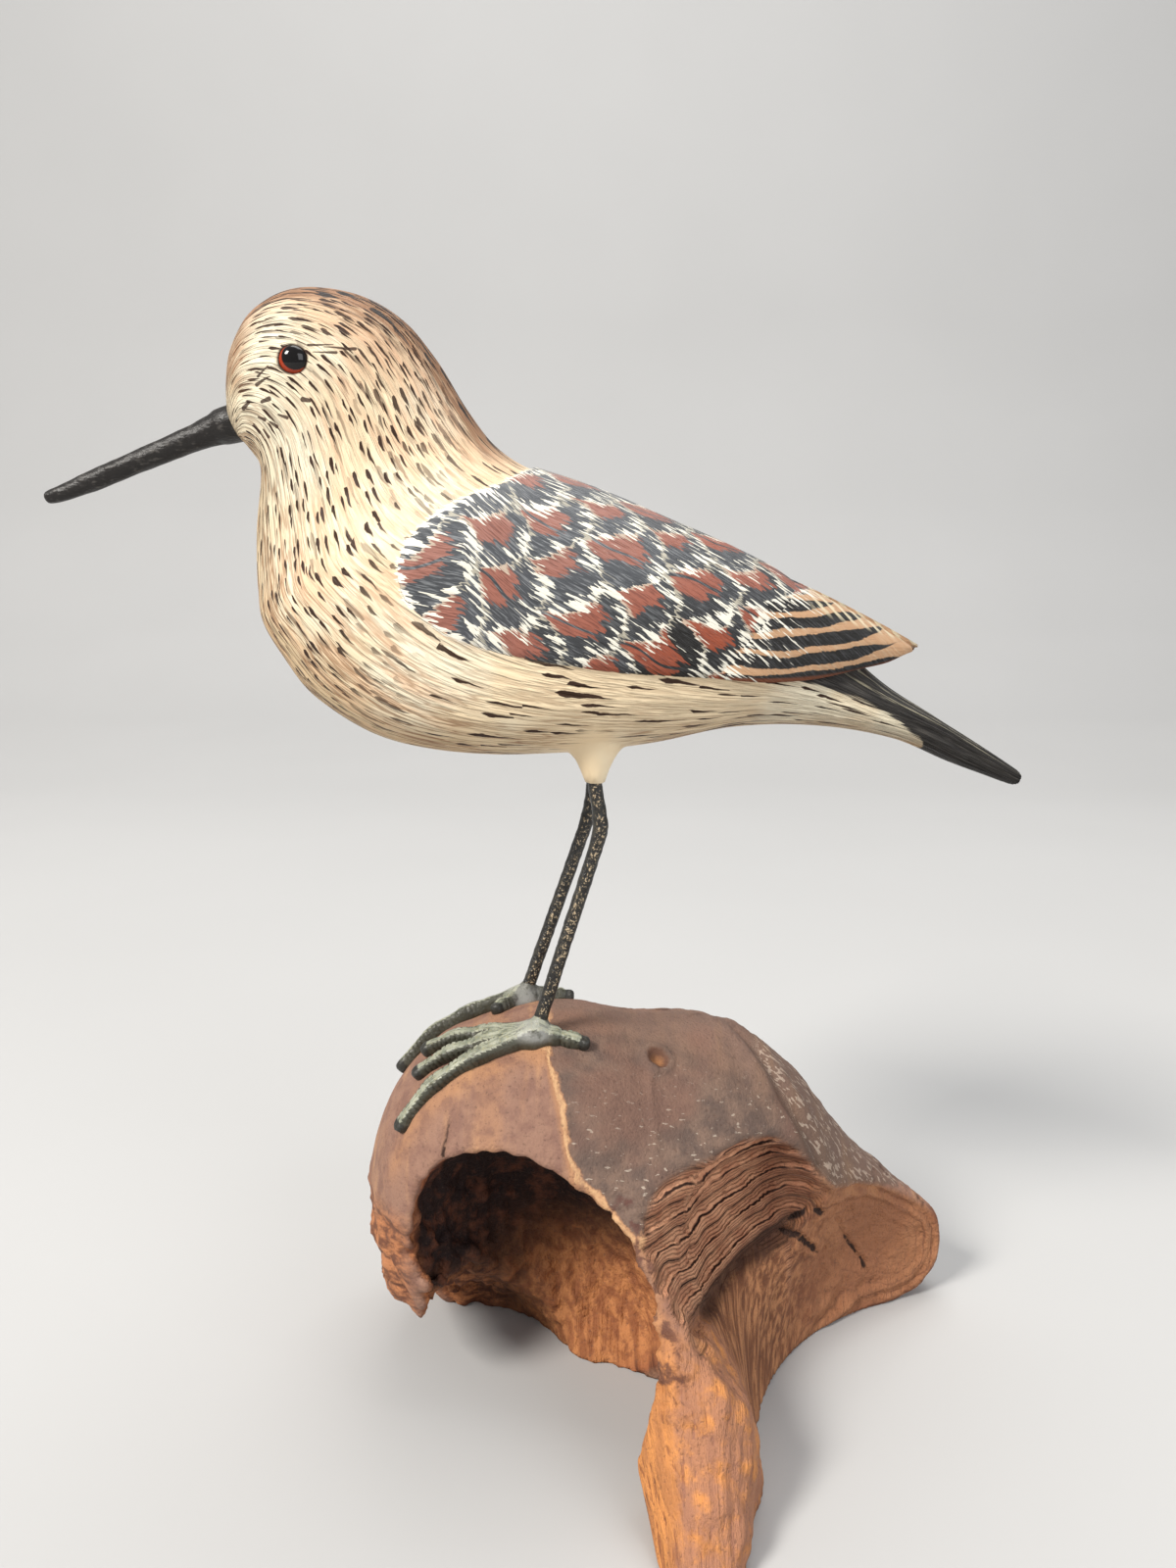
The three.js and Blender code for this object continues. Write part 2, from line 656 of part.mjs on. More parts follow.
addPiece("bird_body", geometryOf(bodySolid()), paint.body);
addPiece("bill", billGeometry(), paint.bill);
for (const [name, side] of [["eye_left", -1], ["eye_right", 1]]) {
  addPiece(name, eyeBall(side, eyeDiameter / 2), paint.eye);
}
let driftwood = driftwoodSolid();
legPlans.forEach((leg, index) => {
  addPiece(`leg_${leg.name}`, legTube(leg, index, legDiameter / 2, 0), paint.leg);
  addPiece(`foot_${leg.name}`, geometryOf(footSolid(leg, index)), paint.foot);
  driftwood = driftwood.subtract(legHole(leg, index));
});
addPiece("driftwood_base", geometryOf(driftwood), paint.driftwood);

// The origin is the middle of the object's outline on the ground.
const outline = new THREE.Box3().setFromObject(group);
const middle = outline.getCenter(new THREE.Vector3());
group.position.set(-middle.x, -middle.y, -outline.min.z);

export default group;
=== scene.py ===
import math

import bpy
import numpy as np
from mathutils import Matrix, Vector, noise


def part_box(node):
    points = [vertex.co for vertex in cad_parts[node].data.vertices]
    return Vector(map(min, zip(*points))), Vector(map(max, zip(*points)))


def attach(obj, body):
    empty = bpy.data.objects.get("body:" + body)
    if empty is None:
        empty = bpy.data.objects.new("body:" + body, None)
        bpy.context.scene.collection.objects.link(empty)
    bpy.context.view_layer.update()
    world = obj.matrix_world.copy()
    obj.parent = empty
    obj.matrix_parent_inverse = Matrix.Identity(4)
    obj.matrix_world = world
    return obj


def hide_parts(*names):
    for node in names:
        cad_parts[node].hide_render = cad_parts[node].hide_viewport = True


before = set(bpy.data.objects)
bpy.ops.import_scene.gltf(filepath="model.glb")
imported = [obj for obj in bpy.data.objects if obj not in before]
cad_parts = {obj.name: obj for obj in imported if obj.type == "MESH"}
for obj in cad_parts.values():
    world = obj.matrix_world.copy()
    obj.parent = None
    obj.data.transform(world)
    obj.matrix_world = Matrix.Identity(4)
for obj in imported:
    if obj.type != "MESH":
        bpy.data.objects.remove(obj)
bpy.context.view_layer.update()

# Carved bird
# One block of soft wood, carved round with a fine gouge whose cuts follow the lie of the
# feathers, with the folded wings left a step proud and their tips standing free of the tail.
# It is painted thinly in cream, brown, rust and slate, stroke by stroke.
BIRD = 2.3  # a hundredth of the bird's length, mm
EYE_X, EYE_Z = -26.7, 37.0
LEG_SPREAD = 22.0
THIGH_X = 1.5
THIGH_DROP, THIGH_RISE = 4.6, 7.0
THIGH_END, THIGH_TOP, THIGH_LEAN = 2.4, 7.8, 4.0

eye_middles = [0.5e3 * (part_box(n)[0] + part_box(n)[1]) for n in ("eye_left", "eye_right")]
bird_at = np.array([
    eye_middles[0].x - EYE_X * BIRD,
    (eye_middles[0].y + eye_middles[1].y) / 2,
    eye_middles[0].z - EYE_Z * BIRD,
])

# back x, back z, belly x, belly z, half width, squareness, from the bill's root to the tail
STATIONS = np.array([
    [-34.6, 34.1, -33.3, 30.6, 2.3, 2],
    [-34.2, 37.0, -32.9, 30.2, 3.8, 2],
    [-33.2, 40.2, -32.4, 29.6, 5.3, 2],
    [-31.4, 42.7, -32.1, 29.2, 6.2, 2],
    [-28.6, 44.3, -31.6, 28.5, 6.7, 2],
    [-25.2, 44.7, -31.4, 27.6, 6.9, 2],
    [-21.3, 43.9, -31.5, 26.3, 6.9, 2],
    [-17.6, 41.8, -31.8, 24.7, 6.8, 2],
    [-14.6, 38.3, -32.2, 22.3, 6.8, 2],
    [-11.8, 33.8, -32.4, 19.2, 7.3, 2],
    [-9.0, 30.2, -32.3, 16.4, 8.6, 2.1],
    [-5.7, 28.0, -31.9, 13.4, 10.2, 2.2],
    [-1.4, 26.6, -30.2, 10.3, 11.3, 2.2],
    [3.4, 24.8, -26.9, 6.0, 11.8, 2.2],
    [8.6, 22.6, -20.9, 2.2, 12.0, 2.2],
    [14.0, 20.3, -12.8, 0.5, 11.8, 2.2],
    [18.9, 17.7, -3.6, 0.4, 10.9, 2.2],
    [22.5, 14.5, 5.4, 1.3, 9.5, 2.2],
    [25.4, 10.8, 14.3, 3.1, 7.8, 2.3],
    [29.4, 7.2, 22.7, 3.2, 6.3, 2.5],
    [34.5, 4.0, 30.1, 2.0, 5.2, 2.8],
    [39.0, 1.2, 36.2, -0.5, 4.5, 3],
    [42.6, -1.2, 42.0, -2.6, 4.1, 3],
])


def through(rows, at):
    """A smooth row between rows of numbers, at places counted in rows."""
    last = len(rows) - 1
    at = np.clip(at, 0, last)
    here = np.floor(at).astype(int)
    part = (at - here)[..., None]
    before, after = rows[np.maximum(here - 1, 0)], rows[np.minimum(here + 1, last)]
    start, beyond = rows[here], rows[np.minimum(here + 2, last)]
    leave, arrive = (after - before) / 2, (beyond - start) / 2
    bend = (2 * start - 2 * after + leave + arrive) * part ** 3
    bend += (-3 * start + 3 * after - 2 * leave - arrive) * part ** 2
    return bend + leave * part + start


def step(value, low, high):
    """A smooth rise from 0 at low to 1 at high."""
    share = np.clip((value - low) / (high - low), 0, 1)
    return share * share * (3 - 2 * share)


def rough(points, size, seed=0.0, octaves=2):
    """Seeded noise, about -1 to 1, at points in mm, with lumps of a size in mm."""
    shift = Vector((seed * 7.31, seed * 3.17, seed * 5.71))
    total = np.zeros(len(points))
    for octave in range(octaves):
        scale = 2 ** octave / size
        lumps = [noise.noise(Vector(p) * scale + shift) for p in points]
        total += np.array(lumps) / 2 ** octave
    return total


def grid_faces(rows, columns, closed):
    """The squares of a grid of points, row by row, closed round on itself or not."""
    row, column = np.mgrid[0:rows - 1, 0:columns if closed else columns - 1]
    first = row * columns + column
    second = row * columns + (column + 1) % columns
    return np.stack([first, second, second + columns, first + columns], -1).reshape(-1, 4)


def capped(points, rows, columns):
    """A grid tube's points and faces, with a fan over each of its ends."""
    ends = [points[:columns].mean(0), points[-columns:].mean(0)]
    faces = grid_faces(rows, columns, True).tolist()
    round_end = np.arange(columns)
    for middle, start, turn in ((len(points), 0, -1), (len(points) + 1, (rows - 1) * columns, 1)):
        a, b = start + round_end, start + (round_end + 1) % columns
        pair = (a, b) if turn > 0 else (b, a)
        faces += [[int(p), int(q), middle] for p, q in zip(*pair)]
    return np.vstack([points, ends]), faces


def facing_out(points, faces):
    """The same faces, turned so that the closed skin's normals point outwards."""
    triangles = np.array([f[:3] for f in faces] + [[f[0], f[2], f[3]] for f in faces if len(f) == 4])
    a, b, c = (points[triangles[:, i]] for i in range(3))
    if np.einsum("ij,ij->i", a, np.cross(b, c)).sum() < 0:
        return [f[::-1] for f in faces]
    return faces


def make_piece(name, points, faces, fields=None):
    """A smooth mesh object from points in mm, with named values on its points."""
    mesh = bpy.data.meshes.new(name)
    mesh.from_pydata((points / 1000).tolist(), [], [list(map(int, f)) for f in faces])
    for field, values in (fields or {}).items():
        values = np.asarray(values, np.float32)
        kind, key = ("FLOAT", "value") if values.ndim == 1 else ("FLOAT_VECTOR", "vector")
        mesh.attributes.new(field, kind, "POINT").data.foreach_set(key, values.ravel())
    mesh.shade_smooth()
    mesh.update()
    piece = bpy.data.objects.new(name, mesh)
    bpy.context.scene.collection.objects.link(piece)
    return piece


# The body's skin: rings from the bill's root to the tail, each from the belly line up the
# right side, over the back and down the left.
RINGS, SIDE_PARTS = 310, 105
fine = np.linspace(0, len(STATIONS) - 1, 2000)
cut = through(STATIONS, fine)
path = 0.6 * cut[:, 0:2] + 0.4 * cut[:, 2:4]
lengths = np.concatenate([[0], np.cumsum(np.linalg.norm(np.diff(path, axis=0), axis=1))])
ring_at = np.interp(np.linspace(0, lengths[-1], RINGS), lengths, fine)
cut = through(STATIONS, ring_at)[:, None, :]
side_angles = np.linspace(-90, 90, SIDE_PARTS + 1)
angles = np.radians(np.concatenate([side_angles, side_angles[-2:0:-1]]))
sides = np.concatenate([np.ones(SIDE_PARTS + 1), -np.ones(SIDE_PARTS - 1)])
columns = len(angles)
power = 2 / cut[..., 5]
rise = 0.5 + 0.5 * np.sign(angles) * np.abs(np.sin(angles)) ** power
middle = cut[..., 2:4] + rise[..., None] * (cut[..., 0:2] - cut[..., 2:4])
reach = cut[..., 4] * np.abs(np.cos(angles)) ** power
skin = np.stack([middle[..., 0], sides * reach, middle[..., 1]], -1)


def outward_normals(grid):
    """Unit normals of the body's rings of points, pointing out of the wood."""
    along = np.gradient(grid, axis=0)
    around = np.roll(grid, -1, 1) - np.roll(grid, 1, 1)
    normal = np.cross(around, along)
    normal /= np.maximum(np.linalg.norm(normal, axis=-1, keepdims=True), 1e-9)
    return normal * np.sign((normal[..., 1] * sides)[:, 1:SIDE_PARTS].sum())


def bell(away, width):
    """1 where away is 0, fading over a width to both sides."""
    return np.exp(-(away / width) ** 2)


def smooth_outline(points, count):
    """An outline in the side view, rounded through its points."""
    return through(np.array(points, float), np.linspace(0, len(points) - 1, count))


def signed_distance(outline, x, z):
    """Distance in mm to a closed outline in the side view, positive inside it."""
    start, end = outline, np.roll(outline, -1, 0)
    run = end - start
    place = np.stack([x, z], -1).reshape(-1, 2)
    nearest = np.full(len(place), 1e9)
    inside = np.zeros(len(place), bool)
    for a, b, r in zip(start, end, run):
        offset = place - a
        share = np.clip(offset @ r / max(r @ r, 1e-9), 0, 1)
        nearest = np.minimum(nearest, np.linalg.norm(offset - share[:, None] * r, axis=1))
        crosses = (a[1] > place[:, 1]) != (b[1] > place[:, 1])
        level = a[0] + (place[:, 1] - a[1]) * r[0] / (r[1] if r[1] else 1e-9)
        inside ^= crosses & (place[:, 0] < level)
    return (np.where(inside, nearest, -nearest) * BIRD).reshape(np.shape(x))


# The wing's outline in the side view, from the middle of the back round its front and along
# its lower edge to the tip.
WING_EDGE = smooth_outline([
    [-4.6, 28.6], [-7.2, 26.4], [-10.6, 24.9], [-13.2, 23.4], [-15.6, 21.4], [-16.8, 19.2],
    [-16.9, 17.2], [-16.2, 15.4], [-14.6, 13.8], [-11.4, 11.9], [-7.9, 10.8], [-4.4, 10.1],
    [0, 9.4], [4.4, 8.9], [8.9, 8.6], [13.5, 8.4], [18.2, 8.4], [24, 8.7], [29.4, 9.5], [33.2, 10.6],
], count=90)
WING_OUTLINE = np.vstack([WING_EDGE, [[37, 16], [20, 34], [-3, 34]]])
# x, height of the back, height of the lower edge, width, along the folded wing
WING_FRAME = np.array([
    [-17, 33.0, 14.0, 9.5], [-11, 31.6, 11.6, 11.4], [-5, 27.8, 10.2, 11.9], [0, 26.2, 9.4, 12.1],
    [5, 24.2, 8.9, 12.0], [10, 22.0, 8.5, 11.7], [15, 20.0, 8.3, 10.8], [20, 17.6, 8.4, 9.2],
    [25, 15.2, 8.8, 6.8], [29.4, 13.0, 9.5, 4.2], [32.8, 11.1, 10.5, 1.6],
])
WING_SLOPE = math.radians(23)
WING_STEP, BACK_DIP = 1.0, 0.7  # how proud the wings stand, and the valley between them, mm


def wing_fields(x, z):
    """Paint coordinates of the folded wing: how far along it and how far down from the back,
    in mm, and the share of its height, 0 at the lower edge and 1 at the back."""
    top, low, out = (np.interp(x, WING_FRAME[:, 0], WING_FRAME[:, i]) for i in (1, 2, 3))
    height = np.clip((z - low) / np.maximum(top - low, 0.3), -0.3, 1)
    turn = np.arccos(np.clip(height, 0, 1)) / (math.pi / 2) - np.minimum(height, 0)
    girth = math.pi / 2 * np.sqrt(((top - low) ** 2 + out ** 2) / 2)
    along = x * math.cos(WING_SLOPE) - z * math.sin(WING_SLOPE)
    return np.stack([along * BIRD, turn * girth * BIRD, height], -1)


wing_mask = signed_distance(WING_OUTLINE, skin[..., 0], skin[..., 2])
from_middle = np.abs(skin[..., 1]) * BIRD
between_wings = step(wing_mask, 0.5, 2.5) * (1 - step(from_middle, 0.2, 1.8)) * step(angles, 0.4, 1.2)
lift = WING_STEP * step(wing_mask, -0.4, 0.9) - BACK_DIP * between_wings
body = skin * BIRD + outward_normals(skin) * lift[..., None]

# Thighs: cones drawn down out of the belly round the wires.
CONE_SPREAD = [0, 0.07, 0.16, 0.32, 0.5, 0.75, 1]  # how far out, as shares
CONE_SWELL = [0, 0.14, 0.25, 0.41, 0.55, 0.78, 1]  # how far up at each
CONE_BLEND, CONE_REACH = 3.0, 16  # mm
for side in (-1, 1):
    swell = np.full(body.shape[:2], 0.5)
    for _ in range(4):
        axis_y = side * (LEG_SPREAD / 2 - THIGH_LEAN * swell ** 2)
        away = np.hypot(body[..., 0] - THIGH_X, body[..., 1] - axis_y)
        spread = (away - THIGH_END) / (THIGH_TOP - THIGH_END)
        swell = np.interp(spread, CONE_SPREAD, CONE_SWELL)
    cone = -THIGH_DROP + swell * (THIGH_DROP + THIGH_RISE)
    cone += 60 * np.maximum(spread - 1, 0)
    low = body[..., 2]
    soft = np.maximum(CONE_BLEND - np.abs(low - cone), 0) / CONE_BLEND
    blended = np.minimum(low, cone) - soft * soft * CONE_BLEND / 4
    body[..., 2] = np.where((angles < 0) & (away < CONE_REACH), blended, low)

# The gouge cuts: shallow grooves that follow the lie of the feathers.
GOUGE_DEPTH, GOUGE_LONG, GOUGE_WIDE = 0.22, 26, 2.1  # mm
HALF_GIRTH = 75  # paint mm from the belly line to the middle of the back
step_along = np.linalg.norm(np.diff(body, axis=0), axis=-1)
run = np.concatenate([np.zeros((1, columns)), np.cumsum(step_along, axis=0)])
girth = np.broadcast_to(np.degrees(angles), run.shape)
around = (girth + 90) / 180 * HALF_GIRTH
flow = np.stack([run / GOUGE_LONG, around / GOUGE_WIDE, np.broadcast_to(sides * 4.0, run.shape)], -1)
cuts = rough(flow.reshape(-1, 3), 1.0, seed=3, octaves=2).reshape(run.shape)
off_thighs = step(np.hypot(body[..., 0] - THIGH_X, body[..., 2]), 8, 20)
normals = outward_normals(body)
off_wings = 1 - 0.55 * step(wing_mask, -0.5, 0.5)
depth = GOUGE_DEPTH * off_wings * off_thighs * step(run, 2, 10)
body += normals * (cuts * depth)[..., None]

# The lid round each eye, a low ring of wood about a shallow socket.
LID_RADIUS, LID_WIDTH, LID_HEIGHT, SOCKET_DEPTH = 3.5, 0.55, 0.3, 0.5  # mm
from_eye = np.hypot(body[..., 0] - EYE_X * BIRD, body[..., 2] - EYE_Z * BIRD)
lid = LID_HEIGHT * bell(from_eye - LID_RADIUS, LID_WIDTH) - SOCKET_DEPTH * (1 - step(from_eye, 2.2, 3.3))
body += normals * lid[..., None]

points, faces = capped(body.reshape(-1, 3), RINGS, columns)
body_fields = {
    "wing": wing_mask.ravel(),
    "feathers": wing_fields(skin[..., 0], skin[..., 2]).reshape(-1, 3),
    "girth": girth.ravel(),
    "run": run.ravel(),
}
body_uv = np.stack([run, around * sides], -1).reshape(-1, 2)


def with_ends(values, count):
    """Values for a capped tube: each end's middle takes the mean of its ring."""
    return np.concatenate([values, [values[:count].mean(0)], [values[-count:].mean(0)]])


fields = {name: with_ends(values, columns) for name, values in body_fields.items()}
uv = with_ends(body_uv, columns)

# The wings' free ends: curved plates that lean in over the tail.
# x, height of the upper edge, height of the lower edge, width
WING_PLAN = np.array([
    [10.4, 20.6, 8.6, 10.6], [15.4, 19.5, 8.1, 10.4], [19.4, 17.8, 8.1, 9.3], [22.6, 16.4, 8.4, 8.1],
    [26.1, 14.7, 9.0, 6.2], [29.4, 13.0, 9.5, 4.2], [31.6, 11.8, 10.2, 2.7], [32.8, 11.1, 10.5, 1.6],
])
PLATE, PLATE_BULGE, LEFT_REACH, ARC = 3.0, 0.9, 0.96, 44  # thickness in mm, roundness, shares
PLATE_RUN, PLATE_GIRTH, WELL_INSIDE = 150, 60.0, 5.0  # the plates' place in the paint
faces = facing_out(points, faces)
plan = through(WING_PLAN, np.linspace(0, len(WING_PLAN) - 1, 96))
for wing_side, wing_reach in ((-1, LEFT_REACH), (1, 1.0)):
    x = plan[0, 0] + (plan[:, 0] - plan[0, 0]) * wing_reach
    tall = plan[:, 1] - plan[:, 2]
    plate = np.minimum(PLATE / BIRD, 0.45 * tall)
    turn = np.linspace(0, np.pi / 2, ARC + 1)
    layers = []
    for inset in (np.zeros_like(plate), plate):
        up = (tall - inset)[:, None] * np.cos(turn) ** PLATE_BULGE
        out = (plan[:, 3] - inset)[:, None] * np.sin(turn) ** PLATE_BULGE - 0.1 * (1 - turn / turn[-1])
        at = np.broadcast_to(x[:, None], up.shape)
        layers.append(np.stack([at, wing_side * out, plan[:, 2][:, None] + up], -1))
    ring = np.concatenate([layers[0], layers[1][:, ::-1]], 1)
    wing_points, wing_faces = capped(ring.reshape(-1, 3) * BIRD, len(x), ring.shape[1])
    wing_faces = facing_out(wing_points, wing_faces)
    plate_run = wing_points[:, 0] + PLATE_RUN
    plate_fields = {
        "wing": np.full(len(wing_points), WELL_INSIDE),
        "feathers": wing_fields(wing_points[:, 0] / BIRD, wing_points[:, 2] / BIRD),
        "girth": np.full(len(wing_points), PLATE_GIRTH),
        "run": plate_run,
    }
    faces += [[index + len(points) for index in face] for face in wing_faces]
    points = np.vstack([points, wing_points])
    fields = {name: np.concatenate([fields[name], plate_fields[name]]) for name in fields}
    uv = np.vstack([uv, np.stack([plate_run, wing_points[:, 2] * wing_side], -1)])

bird = make_piece("carved_bird", points + bird_at, faces, fields)

# The lie of the feathers, as a map on each face's corners: mm from the bill along the girth
# line, and mm up from the belly, negative on the left side. Faces that cross the middle of the
# back are kept in one piece.
NEAR_BACK = 40
corners = np.zeros(len(bird.data.loops), np.int32)
bird.data.loops.foreach_get("vertex_index", corners)
corner_uv = uv[corners]
face_of_corner = np.repeat(np.arange(len(faces)), [len(face) for face in faces])
left_faces = np.zeros(len(faces), bool)
np.logical_or.at(left_faces, face_of_corner, corner_uv[:, 1] < -NEAR_BACK)
over_the_back = left_faces[face_of_corner] & (corner_uv[:, 1] > NEAR_BACK)
corner_uv[over_the_back, 1] -= 2 * HALF_GIRTH
flow_map = bird.data.uv_layers.new(name="flow")
flow_map.data.foreach_set("uv", corner_uv.astype(np.float32).ravel())


def put(tree, kind, inputs=(), **settings):
    """A new node with its settings and inputs; an input is a value or a socket to link from."""
    made = tree.nodes.new(kind if kind.startswith("Geometry") else "ShaderNode" + kind)
    for name, value in settings.items():
        setattr(made, name, value)
    for key, value in dict(inputs).items():
        if isinstance(value, bpy.types.NodeSocket):
            tree.links.new(value, made.inputs[key])
        else:
            made.inputs[key].default_value = value
    return made


def calc(tree, operation, a, b=0.0, c=0.0, clamp=False):
    """The result of a sum on one, two or three values."""
    return put(tree, "Math", {0: a, 1: b, 2: c}, operation=operation, use_clamp=clamp).outputs[0]


def vector(tree, operation, a, b=(0, 0, 0)):
    """The result of a sum on vectors."""
    made = put(tree, "VectorMath", {0: a, 1: b}, operation=operation)
    return made.outputs["Value" if operation in ("LENGTH", "DISTANCE", "DOT_PRODUCT") else "Vector"]


def parts(tree, value):
    """The three parts of a vector."""
    return put(tree, "SeparateXYZ", {0: value}).outputs


def joined(tree, *values):
    """A vector made of up to three parts, the rest 0."""
    return put(tree, "CombineXYZ", dict(enumerate(values))).outputs[0]


def times(tree, first, *others):
    """The product of two or more values."""
    product = others[0] if len(others) == 1 else times(tree, *others)
    return calc(tree, "MULTIPLY", first, product)


def opposite(tree, share):
    """What is left of 1."""
    return calc(tree, "SUBTRACT", 1.0, share)


def times_plus(tree, first, second, added, clamp=False):
    """The product of two values, and a third added to it."""
    return calc(tree, "MULTIPLY_ADD", first, second, added, clamp)


def stretched(tree, place, factors):
    """A place with each of its parts times a factor."""
    return vector(tree, "MULTIPLY", place, factors)


def rising(tree, value, low, high):
    """0 at low, 1 at high, smooth between."""
    spans = {"Value": value, "From Min": low, "From Max": high, "To Min": 0.0, "To Max": 1.0}
    return put(tree, "MapRange", spans, interpolation_type="SMOOTHSTEP").outputs[0]


def falling(tree, value, low, high):
    """1 at low, 0 at high, smooth between."""
    return opposite(tree, rising(tree, value, low, high))


def colour_mix(tree, share, a, b):
    """Colour a where the share is 0, and b where it is 1."""
    a, b = (value if isinstance(value, bpy.types.NodeSocket) else (*value, 1.0) for value in (a, b))
    return put(tree, "Mix", {0: share, 6: a, 7: b}, data_type="RGBA").outputs[2]


def coated(tree, under, colour, mask, strength):
    """A colour over another, where a mask says and as strongly as it covers there."""
    return colour_mix(tree, times(tree, mask, strength), under, colour)


def noise_of(tree, place, scale=1.0, detail=2.0, roughness=0.5, distortion=0.0):
    """Soft noise from 0 to 1 at a place."""
    inputs = {"Vector": place, "Scale": scale, "Detail": detail, "Roughness": roughness,
              "Distortion": distortion}
    return put(tree, "TexNoise", inputs).outputs[0]


def field_of(tree, name, output="Fac"):
    """The named value that the mesh holds on its points."""
    return put(tree, "Attribute", attribute_name=name).outputs[output]


def place_mm(tree):
    """Object coordinates in mm."""
    place = put(tree, "TexCoord").outputs["Object"]
    return stretched(tree, place, (1000, 1000, 1000))


def new_group(name, inputs, outputs):
    """An empty shader node group with named inputs and outputs."""
    group = bpy.data.node_groups.new(name, "ShaderNodeTree")
    for label, kind, value in inputs:
        made = group.interface.new_socket(label, in_out="INPUT", socket_type="NodeSocket" + kind)
        made.default_value = value
    for label, kind in outputs:
        group.interface.new_socket(label, in_out="OUTPUT", socket_type="NodeSocket" + kind)
    return group, group.nodes.new("NodeGroupInput").outputs, group.nodes.new("NodeGroupOutput").inputs


def use_group(tree, group, inputs):
    """A group placed in a tree with its own values."""
    return put(tree, "Group", inputs, node_tree=group).outputs


def new_paint(name):
    """A new material, its node tree and its shader."""
    paint = bpy.data.materials.new(name)
    paint.use_nodes = True
    return paint, paint.node_tree, paint.node_tree.nodes["Principled BSDF"]


def finish_paint(tree, shader, colour, roughness, relief, strength, distance):
    """Leads colour, roughness and relief to a shader; the relief's distance is in metres."""
    tree.links.new(colour, shader.inputs["Base Color"])
    tree.links.new(roughness, shader.inputs["Roughness"])
    bump = put(tree, "Bump", {"Strength": strength, "Distance": distance, "Height": relief})
    tree.links.new(bump.outputs[0], shader.inputs["Normal"])


# A scatter of tapered brush dashes along the flow, blunt at the front and drawn out behind.
dashes, given, result = new_group(
    "brush dashes",
    [("Flow", "Vector", (0, 0, 0)), ("Spacing along", "Float", 12.0), ("Spacing across", "Float", 4.0),
     ("Length", "Float", 6.0), ("Width", "Float", 0.7), ("Keep", "Float", 0.6), ("Turn", "Float", 0.0)],
    [("Mask", "Float")])
t = dashes
spacing = joined(t, given["Spacing along"], given["Spacing across"], 1.0)
wave = noise_of(t, stretched(t, given["Flow"], (0.25, 0.5, 0)), detail=1)
offset = joined(t, given["Turn"], times_plus(t, wave, 0.9, given["Turn"]))
cells = vector(t, "DIVIDE", vector(t, "ADD", given["Flow"], offset), spacing)
voronoi = put(t, "TexVoronoi", {"Vector": cells, "Scale": 1.0, "Randomness": 0.9}, voronoi_dimensions="2D")
local = stretched(t, vector(t, "SUBTRACT", cells, voronoi.outputs["Position"]), spacing)
local = parts(t, local)
chance = put(t, "SeparateColor", {0: voronoi.outputs["Color"]}).outputs
half = times(t, given["Length"], times_plus(t, chance[1], 0.32, 0.3))
share = calc(t, "DIVIDE", local[0], half)
front = calc(t, "MULTIPLY", calc(t, "ADD", share, 1.0), 2.6, clamp=True)
back = calc(t, "MULTIPLY", opposite(t, share), 0.72, clamp=True)
taper = calc(t, "POWER", times(t, front, back), 0.8)
breadth = times(t, given["Width"], times_plus(t, chance[2], 0.35, 0.3))
ragged = noise_of(t, stretched(t, given["Flow"], (0.7, 4.0, 1)), detail=2)
edge = times(t, breadth, taper, times_plus(t, ragged, 0.9, 0.55))
clear = calc(t, "SUBTRACT", edge, calc(t, "ABSOLUTE", local[1]))
mask = times(t, rising(t, clear, -0.03, 0.12), calc(t, "LESS_THAN", chance[0], given["Keep"]))
t.links.new(mask, result["Mask"])

# One brush line in the side view, from a point to a point, with its breadth at both ends.
line, given, result = new_group(
    "brush line",
    [("Place", "Vector", (0, 0, 0)), ("From", "Vector", (0, 0, 0)), ("To", "Vector", (1, 0, 0)),
     ("Breadth from", "Float", 0.2), ("Breadth to", "Float", 0.05), ("Before", "Float", 0.0)],
    [("Mask", "Float")])
t = line
offset = vector(t, "SUBTRACT", given["Place"], given["From"])
run_of = vector(t, "SUBTRACT", given["To"], given["From"])
share = calc(t, "DIVIDE", vector(t, "DOT_PRODUCT", offset, run_of),
             vector(t, "DOT_PRODUCT", run_of, run_of), clamp=True)
scaled = put(t, "VectorMath", {0: run_of, "Scale": share}, operation="SCALE").outputs[0]
off = vector(t, "DISTANCE", offset, scaled)
breadth = put(t, "MapRange", {
    "Value": share, "From Min": 0.0, "From Max": 1.0,
    "To Min": given["Breadth from"], "To Max": given["Breadth to"]}).outputs[0]
mask = rising(t, calc(t, "SUBTRACT", breadth, off), -0.08, 0.08)
t.links.new(calc(t, "MAXIMUM", mask, given["Before"]), result["Mask"])

# Paint of the whole bird. The right wing's feathers are shifted, so that the two wings differ.
RIGHT_SHIFT = 8.7
painted, t, shader = new_paint("painted_bird")
place = place_mm(t)
place_x, place_y, place_z = parts(t, place)
flow = put(t, "UVMap", uv_map="flow").outputs[0]
on_right = calc(t, "GREATER_THAN", place_y, bird_at[1])
side_shift = joined(t, times(t, on_right, RIGHT_SHIFT))
feathers = vector(t, "ADD", field_of(t, "feathers", "Vector"), side_shift)
wing = field_of(t, "wing")
girth_at = field_of(t, "girth")
run_at = field_of(t, "run")
CREAM, IVORY, PEACH = (0.80, 0.645, 0.43), (0.87, 0.78, 0.585), (0.77, 0.52, 0.335)
TAN_SHADE, UMBER, CROWN = (0.36, 0.20, 0.095), (0.038, 0.017, 0.009), (0.29, 0.145, 0.075)
RUST, DUSKY, SLATE = (0.27, 0.06, 0.026), (0.30, 0.14, 0.11), (0.075, 0.08, 0.088)
BLACK, BARB, BUFF = (0.014, 0.013, 0.012), (0.74, 0.71, 0.61), (0.44, 0.26, 0.145)

